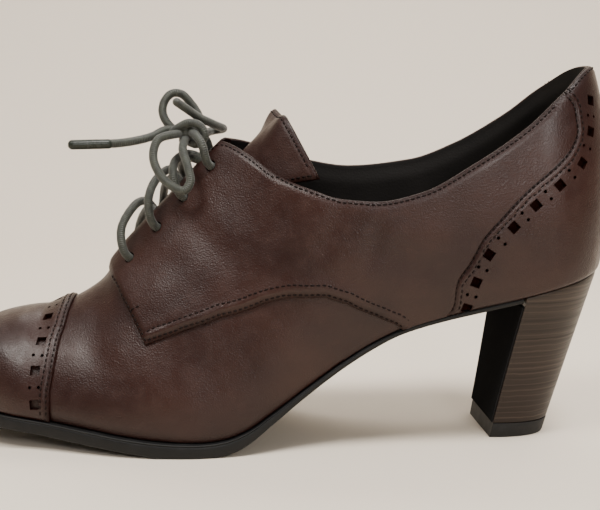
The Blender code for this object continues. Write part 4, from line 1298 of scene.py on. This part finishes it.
def make_outsole():
    """The black sole with its rounded lower edge, a fine groove under the upper, and its spring."""
    back = girth_at(HEEL_TOP_S + SOLE_BACK)
    girth = steps_between((back, 1.6), (girth_at(128), 1.2), (girth_at(162), 1.6), (TIP, 1))
    both, edge, top, bottom = [], [], [], []
    for side in (-1, 1):
        skew = (side + 1) / 2 * HEEL_SKEW * np.clip(1 - (girth - back) / 20, 0, 1)
        at = girth + skew
        s = np.interp(at, GIRTH, FOOT_S)
        both.append(at)
        edge.append(through(SOLE_EDGE, s))
        top.append(through(FEATHER, s) - SOLE_GAP)
        bottom.append(through(UNDERSIDE, s))
    edge, top, bottom = np.array(edge), np.array(top), np.array(bottom)
    thick = top - bottom
    round_off = np.minimum(0.8, thick / 3)
    outs, heights = [], []
    for turn in np.linspace(0, math.pi / 2, 5):
        outs.append(edge - round_off * (1 - math.sin(turn)))
        heights.append(bottom + round_off * (1 - math.cos(turn)))
    for share, out in ((0.45, 0.1), (0.72, 0.05), (0.8, -0.02), (0.86, -0.25), (0.93, -0.05)):
        outs.append(edge + out)
        heights.append(bottom + thick * share)
    for turn in np.linspace(0, math.pi / 2, 4):
        outs.append(edge - 0.5 * (1 - math.cos(turn)))
        heights.append(top - 0.25 * (1 - math.sin(turn)))
    outs.append(edge - 2.5)
    heights.append(top)
    sole = ring_solid("sole", edge_ring(both, outs, heights), [look_of("sole")])
    wear(sole, "sole", "outsole")


def make_insole():
    """The inner sole, just inside the wall of the upper."""
    girth = steps_between((0, 2.0), (TIP, 1))
    height = through(FEATHER, np.interp(girth, GIRTH, FOOT_S))
    inset = -(WALL + 0.6)
    steps = ((0, 0.0), (0, INSOLE - 0.4), (-0.15, INSOLE - 0.12), (-0.5, INSOLE), (-3.0, INSOLE))
    rings = edge_ring([girth, girth], [[inset + out] * 2 for out, _ in steps],
                      [[height + up] * 2 for _, up in steps])
    insole = ring_solid("insole_sock", rings, [look_of("lining")])
    wear(insole, "lining", "insole")


def heel_section(side, height, girth, grow=0.0):
    """Heel outline points of one side at some heights, between the seat and the round foot."""
    seat = surface(girth, 0, side, HEEL_SEAT_EDGE + grow)
    turn = np.linspace(0, math.pi / 2, len(girth))
    front = HEEL_FOOT_S + HEEL_SKEW * (side + 1) / 2 * np.cos(turn)
    foot_s = front - (HEEL_FOOT_DEPTH + grow) * np.sin(turn) ** 0.8
    foot_y = centre_line(30) + side * (HEEL_FOOT_HALF + grow) * np.cos(turn) ** 0.8
    share = height / (seat[:, 2] - GAP)
    s = foot_s + (seat[:, 0] - foot_s) * share
    y = foot_y + (seat[:, 1] - foot_y) * share**HEEL_WAIST
    return np.stack([s, y, height + 0 * s], -1)


def heel_levels(shares, heights_of, grows):
    """Rings of the heel from its foot to its seat."""
    rings = []
    for share, grow in zip(shares, grows):
        sides = []
        for side in (-1, 1):
            girth = np.linspace(girth_at(HEEL_TOP_S + HEEL_SKEW * (side + 1) / 2), 0, 60)
            seat = surface(girth, 0, side)[:, 2] - SOLE_GAP
            sides.append(heel_section(side, heights_of(share, seat), girth, grow))
        rings.append(np.concatenate([sides[0], sides[1][::-1]]))
    return rings


def make_heel():
    """The stacked heel, its black breast cover and the lift that it stands on."""
    low = LIFT + 0.1
    shares = np.concatenate([[0, 0.004, 0.012], np.linspace(0.03, 0.97, 46), [0.988, 1]])
    grows = np.concatenate([[-0.35, -0.1, 0.0], np.zeros(46), [-0.1, -0.4]])
    levels = heel_levels(shares, lambda k, seat: low + (seat - low) * k, grows)
    heel = ring_solid("heel_stack", levels, [look_of("heel")])
    wear(heel, "heel_stack", "heel")

    heights = (0.0, 0.12, 0.5, LIFT / 2, LIFT - 0.4, LIFT - 0.08, LIFT)
    grows = (-0.5, -0.1, 0.1, 0.12, 0.1, 0.0, -0.3)
    levels = heel_levels(heights, lambda z, seat: z + 0 * seat, grows)
    lift = ring_solid("top_lift_rubber", levels, [look_of("lift")])
    wear(lift, "lift", "top_lift")

    corners = []
    shares = np.linspace(0, 1, 40)
    for side in (-1, 1):
        girth = np.linspace(girth_at(HEEL_TOP_S + HEEL_SKEW * (side + 1) / 2), 0, 60)
        top = surface(girth, 0, side)[0, 2] - GAP - BREAST_BELOW_SEAT
        heights = low + GAP + (top - low - GAP) * shares
        corner = np.stack([heel_section(side, z + 0 * girth, girth)[0] for z in heights])
        corner[:, 1] -= side * BREAST_INSET * 0.2
        corners.append(corner)
    share = np.linspace(0, 1, 24)[None, :, None]
    face = corners[0][:, None] * (1 - share) + corners[1][:, None] * share
    face[..., 0] += 0.1
    patch = {"points": face, "side": -1, "outer": 0.6 * BREAST, "inner": 0.05, "edge": 5.0}
    breast = shell("breast_cover", [patch], [look_of("breast")])
    wear(breast, "sole", "heel_breast")


def mirrored(points):
    """The same route from the inner side of the shoe."""
    points = np.array(points, float)
    points[:, 1] = 2 * centre_line(points[:, 0]) - points[:, 1]
    return points


def at_knot(towards, depth=0.0):
    """The place on the knot's face on the way to a point, in s, y and z, or some way inside it."""
    away = np.subtract(towards, KNOT)
    face = away / np.linalg.norm(away / np.array(KNOT_SIZE))
    return KNOT + face - away / np.linalg.norm(away) * depth


def lacing(first_side):
    """The route of one half of the lace, in s, y and z: out of an eyelet, over, under, and so on."""
    route = []
    side = first_side
    for row in range(len(EYELETS)):
        at, out = eyelet_axes(side)[row]
        place = from_frame(at)
        way = out * (-1, 1, 1)
        if row == 0:
            start = np.array([place[0] + 1.0, centre_line(place[0]), place[2] - 1.0])
            route += [start]
        route += [place + way * UNDER_FACING, place, place + way * OVER_FACING]
        if row < len(CROSSINGS):
            over = np.array(CROSSINGS[row], float)
            over[:, (0, 2)] += NEAR_RAISED if side < 0 else FAR_LOWERED[row]
            over = over if side < 0 else mirrored(over)
            route += list(over)
            side = -side
            after, way = eyelet_axes(side)[row + 1]
            after = from_frame(after)
            way = way * (-1, 1, 1)
            under = after + way * UNDER_FACING
            middle = over[-1]
            route.append(middle * 0.45 + under * 0.55 + (0.8, 0, 1.2))
        else:
            strand = np.array(KNOT_STRAND, float)
            route += list(strand if side < 0 else mirrored(strand))
    return np.array(route)


def make_lace():
    """The lace through its eyelets, the knot, the two loops and the two ends with a sleeve on one."""
    look = look_of("lace")
    for name, side, nodes in (("lace_through_outer", -1, ("lace_cross_1", "lace_cross_2")),
                              ("lace_through_inner", 1, ("lace_cross_3",))):
        strand = cord_mesh(name, smooth_line(in_frame(lacing(side)), CORD_STEP), LACE, look, 0.012)
        wear(strand, "lace", *nodes)

    turn = np.linspace(0, 2 * math.pi * 1.7, 24)
    wrap = np.stack([
        KNOT[0] - 1.6 + 3.2 * turn / turn[-1],
        KNOT[1] - 3.3 * np.cos(turn),
        KNOT[2] + 2.9 * np.sin(turn),
    ], -1)
    core = np.array(KNOT_ARCH)
    knot = cord_mesh("knot_wrap", smooth_line(in_frame(wrap), 0.6), LACE, look, 0.012)
    middle = cord_mesh("knot_core", smooth_line(in_frame(core), 0.6), LACE, look, 0.012)
    wear(knot, "lace", "lace_knot")
    wear(middle, "lace")

    def free(name, route, node, far_end, with_pieces, inside_end=None):
        places = np.vstack([at_knot(route[0], 2.2), route] + ([at_knot(route[-1], 2.2)] if inside_end else []))
        line = smooth_line(in_frame(places), CORD_STEP)
        piece = cord_mesh(name, line, LACE, look, 0.012)
        wear(piece, "lace", node)
        return piece

    free("bow_loop_outer", LOOP_LATERAL, "lace_loop_lateral", "object", [knot, middle], True)
    free("bow_loop_inner", LOOP_MEDIAL, "lace_loop_medial", "object", [], True)
    line = smooth_line(in_frame(np.array(AGLET_ROUTE)), 0.8)
    aglet = cord_mesh("aglet_sleeve", line, AGLET, look_of("aglet"))
    wear(aglet, "aglet", "aglet_lateral")
    free("bow_end_outer", END_LATERAL, "lace_end_lateral", "fitting", [aglet])
    free("bow_end_inner", END_MEDIAL, "lace_end_medial", "bare", [])


class ShoeColours(bpy.types.PropertyGroup):
    """Colours of the shoe's finishes."""
    leather: bpy.props.FloatVectorProperty(
        name="Leather", description="Lighter tone of the reddish brown calf", subtype="COLOR",
        size=3, min=0, max=1, default=(0.028, 0.0096, 0.0067))
    leather_deep: bpy.props.FloatVectorProperty(
        name="Deep leather", description="Darker tone of the calf", subtype="COLOR",
        size=3, min=0, max=1, default=(0.0155, 0.0041, 0.0029))
    lining: bpy.props.FloatVectorProperty(
        name="Lining", description="Black brown lining leather", subtype="COLOR",
        size=3, min=0, max=1, default=(0.006, 0.005, 0.0045))
    thread: bpy.props.FloatVectorProperty(
        name="Thread", description="Dark sewing thread", subtype="COLOR",
        size=3, min=0, max=1, default=(0.005, 0.0022, 0.0018))
    sole: bpy.props.FloatVectorProperty(
        name="Sole", description="Black sole and breast cover", subtype="COLOR",
        size=3, min=0, max=1, default=(0.0065, 0.0065, 0.0068))
    lift: bpy.props.FloatVectorProperty(
        name="Top lift", description="Dark grey rubber of the lift", subtype="COLOR",
        size=3, min=0, max=1, default=(0.010, 0.010, 0.0105))
    heel: bpy.props.FloatVectorProperty(
        name="Heel", description="Grey brown of the stacked heel", subtype="COLOR",
        size=3, min=0, max=1, default=(0.036, 0.0245, 0.0185))
    lace: bpy.props.FloatVectorProperty(
        name="Lace", description="Dark olive of the waxed lace", subtype="COLOR",
        size=3, min=0, max=1, default=(0.026, 0.030, 0.021))
    aglet: bpy.props.FloatVectorProperty(
        name="Aglet", description="Dark sleeve on the lace's end", subtype="COLOR",
        size=3, min=0, max=1, default=(0.016, 0.020, 0.015))
    floor: bpy.props.FloatVectorProperty(
        name="Floor", description="Pale floor and backdrop", subtype="COLOR",
        size=3, min=0, max=1, default=(0.74, 0.655, 0.55))


STITCH_ROWS = []


class SHOE_OT_upper(bpy.types.Operator):
    """Make the upper's leather and lining with the eyelets"""
    bl_idname = "shoe.upper"
    bl_label = "Upper"

    def execute(self, context):
        make_upper()
        return {"FINISHED"}


class SHOE_OT_overlays(bpy.types.Operator):
    """Make the toe cap, the counter and the two quarters"""
    bl_idname = "shoe.overlays"
    bl_label = "Cap, counter and quarters"

    def execute(self, context):
        STITCH_ROWS.extend(make_toe_cap())
        STITCH_ROWS.extend(make_counter())
        STITCH_ROWS.extend(make_quarter("quarter_outer_leather", "quarter_lateral", -1))
        STITCH_ROWS.extend(make_quarter("quarter_inner_leather", "quarter_medial", 1))
        return {"FINISHED"}


class SHOE_OT_tongue(bpy.types.Operator):
    """Make the tongue under the facings"""
    bl_idname = "shoe.tongue"
    bl_label = "Tongue"

    def execute(self, context):
        STITCH_ROWS.extend(make_tongue())
        return {"FINISHED"}


class SHOE_OT_stitching(bpy.types.Operator):
    """Sew the rows of stitches along the edges that are there"""
    bl_idname = "shoe.stitching"
    bl_label = "Stitching"

    def execute(self, context):
        points, faces = stitches(STITCH_ROWS)
        sewn = mesh_object("stitching", points, faces, [look_of("thread")])
        wear(sewn, "leather")
        return {"FINISHED"}


class SHOE_OT_bottom(bpy.types.Operator):
    """Make the sole, the inner sole, the heel, its breast cover and the top lift"""
    bl_idname = "shoe.bottom"
    bl_label = "Sole and heel"

    def execute(self, context):
        make_outsole()
        make_insole()
        make_heel()
        return {"FINISHED"}


class SHOE_OT_lace(bpy.types.Operator):
    """Run the lace through the eyelets and tie its bow"""
    bl_idname = "shoe.lace"
    bl_label = "Lace"

    def execute(self, context):
        make_lace()
        return {"FINISHED"}


class SHOE_OT_stage(bpy.types.Operator):
    """Set the floor, the lights and the camera"""
    bl_idname = "shoe.stage"
    bl_label = "Stage"

    def execute(self, context):
        make_stage()
        return {"FINISHED"}


def make_camera():
    """The camera, where the photograph was taken from."""
    data = bpy.data.cameras.new("camera")
    data.sensor_width = 36
    data.lens = LENS
    data.clip_start, data.clip_end = 0.01, 20
    camera = bpy.data.objects.new("camera", data)
    camera.location = in_frame(np.array([CAMERA_S, CAMERA_Y, CAMERA_Z])) * MM
    camera.rotation_euler = (math.radians(90 - CAMERA_DOWN), 0, 0)
    bpy.context.scene.collection.objects.link(camera)
    bpy.context.scene.camera = camera


def area_light(name, place, aim, size, power, colour):
    """One rectangular lamp, aimed at a point."""
    data = bpy.data.lights.new(name, "AREA")
    data.shape = "RECTANGLE"
    data.size, data.size_y = size
    data.energy = power
    data.color = colour
    lamp = bpy.data.objects.new(name, data)
    lamp.location = place
    lamp.rotation_euler = (Vector(aim) - Vector(place)).to_track_quat("-Z", "Y").to_euler()
    bpy.context.scene.collection.objects.link(lamp)


ROOM_LIGHT = (0.0, 0.75, 0.07, 0.6)


def make_stage():
    """A pale floor that sweeps up behind, soft lights, and the camera at the photograph's angle."""
    colours = bpy.context.scene.shoe_colours
    depth, radius, wide = 0.75, 0.35, 3.0
    turn = np.linspace(0, math.pi / 2, 24)
    y = np.concatenate([[-2.0, -0.6, 0.0, depth - radius - 0.1], depth - radius + radius * np.sin(turn), [depth]])
    z = np.concatenate([[0, 0, 0, 0], radius - radius * np.cos(turn), [2.2]])
    x = np.linspace(-wide, wide, 12)
    points = np.stack(np.broadcast_arrays(x[None, :], y[:, None], z[:, None]), -1).reshape(-1, 3) / MM
    look, tree, shader, add = nodes_of("pale_floor", colours.floor, 0.85)
    floor = mesh_object("floor", points, grid_quads(len(y), len(x)).tolist(), [look])
    area_light("key", (-0.45, -0.45, 1.05), (0, 0, 0.05), (0.45, 0.32), 9.5, (1.0, 0.96, 0.9))
    area_light("overhead", (0.32, -0.28, 1.1), (0.05, 0, 0.08), (0.34, 0.26), 13, (1.0, 0.97, 0.93))
    area_light("window", (0.34, -0.86, 0.44), (0.06, 0, 0.09), (0.14, 0.2), 2.8, (1.0, 0.98, 0.95))
    area_light("behind", (0.1, 0.55, 0.9), (0.0, 0, 0.1), (1.2, 0.4), 6, (1.0, 0.98, 0.95))
    world = bpy.data.worlds.new("room")
    world.use_nodes = True
    nodes = world.node_tree.nodes
    way = nodes.new("ShaderNodeSeparateXYZ")
    rise = nodes.new("ShaderNodeMapRange")
    for entry, value in zip(range(1, 5), ROOM_LIGHT):
        rise.inputs[entry].default_value = value
    world.node_tree.links.new(nodes.new("ShaderNodeTexCoord").outputs["Generated"], way.inputs[0])
    world.node_tree.links.new(way.outputs["Z"], rise.inputs[0])
    world.node_tree.links.new(rise.outputs[0], nodes["Background"].inputs["Strength"])
    nodes["Background"].inputs["Color"].default_value = (0.9, 0.88, 0.85, 1)
    bpy.context.scene.world = world
    make_camera()


class SHOE_PT_panel(bpy.types.Panel):
    """Pieces of the shoe in the sidebar"""
    bl_label = "Lace-up shoe"
    bl_space_type = "VIEW_3D"
    bl_region_type = "UI"
    bl_category = "Shoe"

    def draw(self, context):
        layout = self.layout
        for operator in OPERATORS:
            layout.operator(operator.bl_idname)
        for key in ShoeColours.__annotations__:
            layout.prop(context.scene.shoe_colours, key)


OPERATORS = (SHOE_OT_stage, SHOE_OT_lace, SHOE_OT_upper, SHOE_OT_overlays, SHOE_OT_tongue, SHOE_OT_stitching,
             SHOE_OT_bottom)
CLASSES = (ShoeColours, *OPERATORS, SHOE_PT_panel)


def register():
    """Register the add-on's classes and its colours."""
    for made in CLASSES:
        bpy.utils.register_class(made)
    bpy.types.Scene.shoe_colours = bpy.props.PointerProperty(type=ShoeColours)


def unregister():
    """Take the add-on's classes and colours out again."""
    del bpy.types.Scene.shoe_colours
    for made in reversed(CLASSES):
        bpy.utils.unregister_class(made)


def main():
    """Build the shoe and its stage."""
    register()
    bpy.ops.shoe.stage()
    bpy.ops.shoe.lace()
    bpy.ops.shoe.upper()
    bpy.ops.shoe.overlays()
    bpy.ops.shoe.tongue()
    bpy.ops.shoe.stitching()
    bpy.ops.shoe.bottom()


if __name__ == "__main__":
    main()
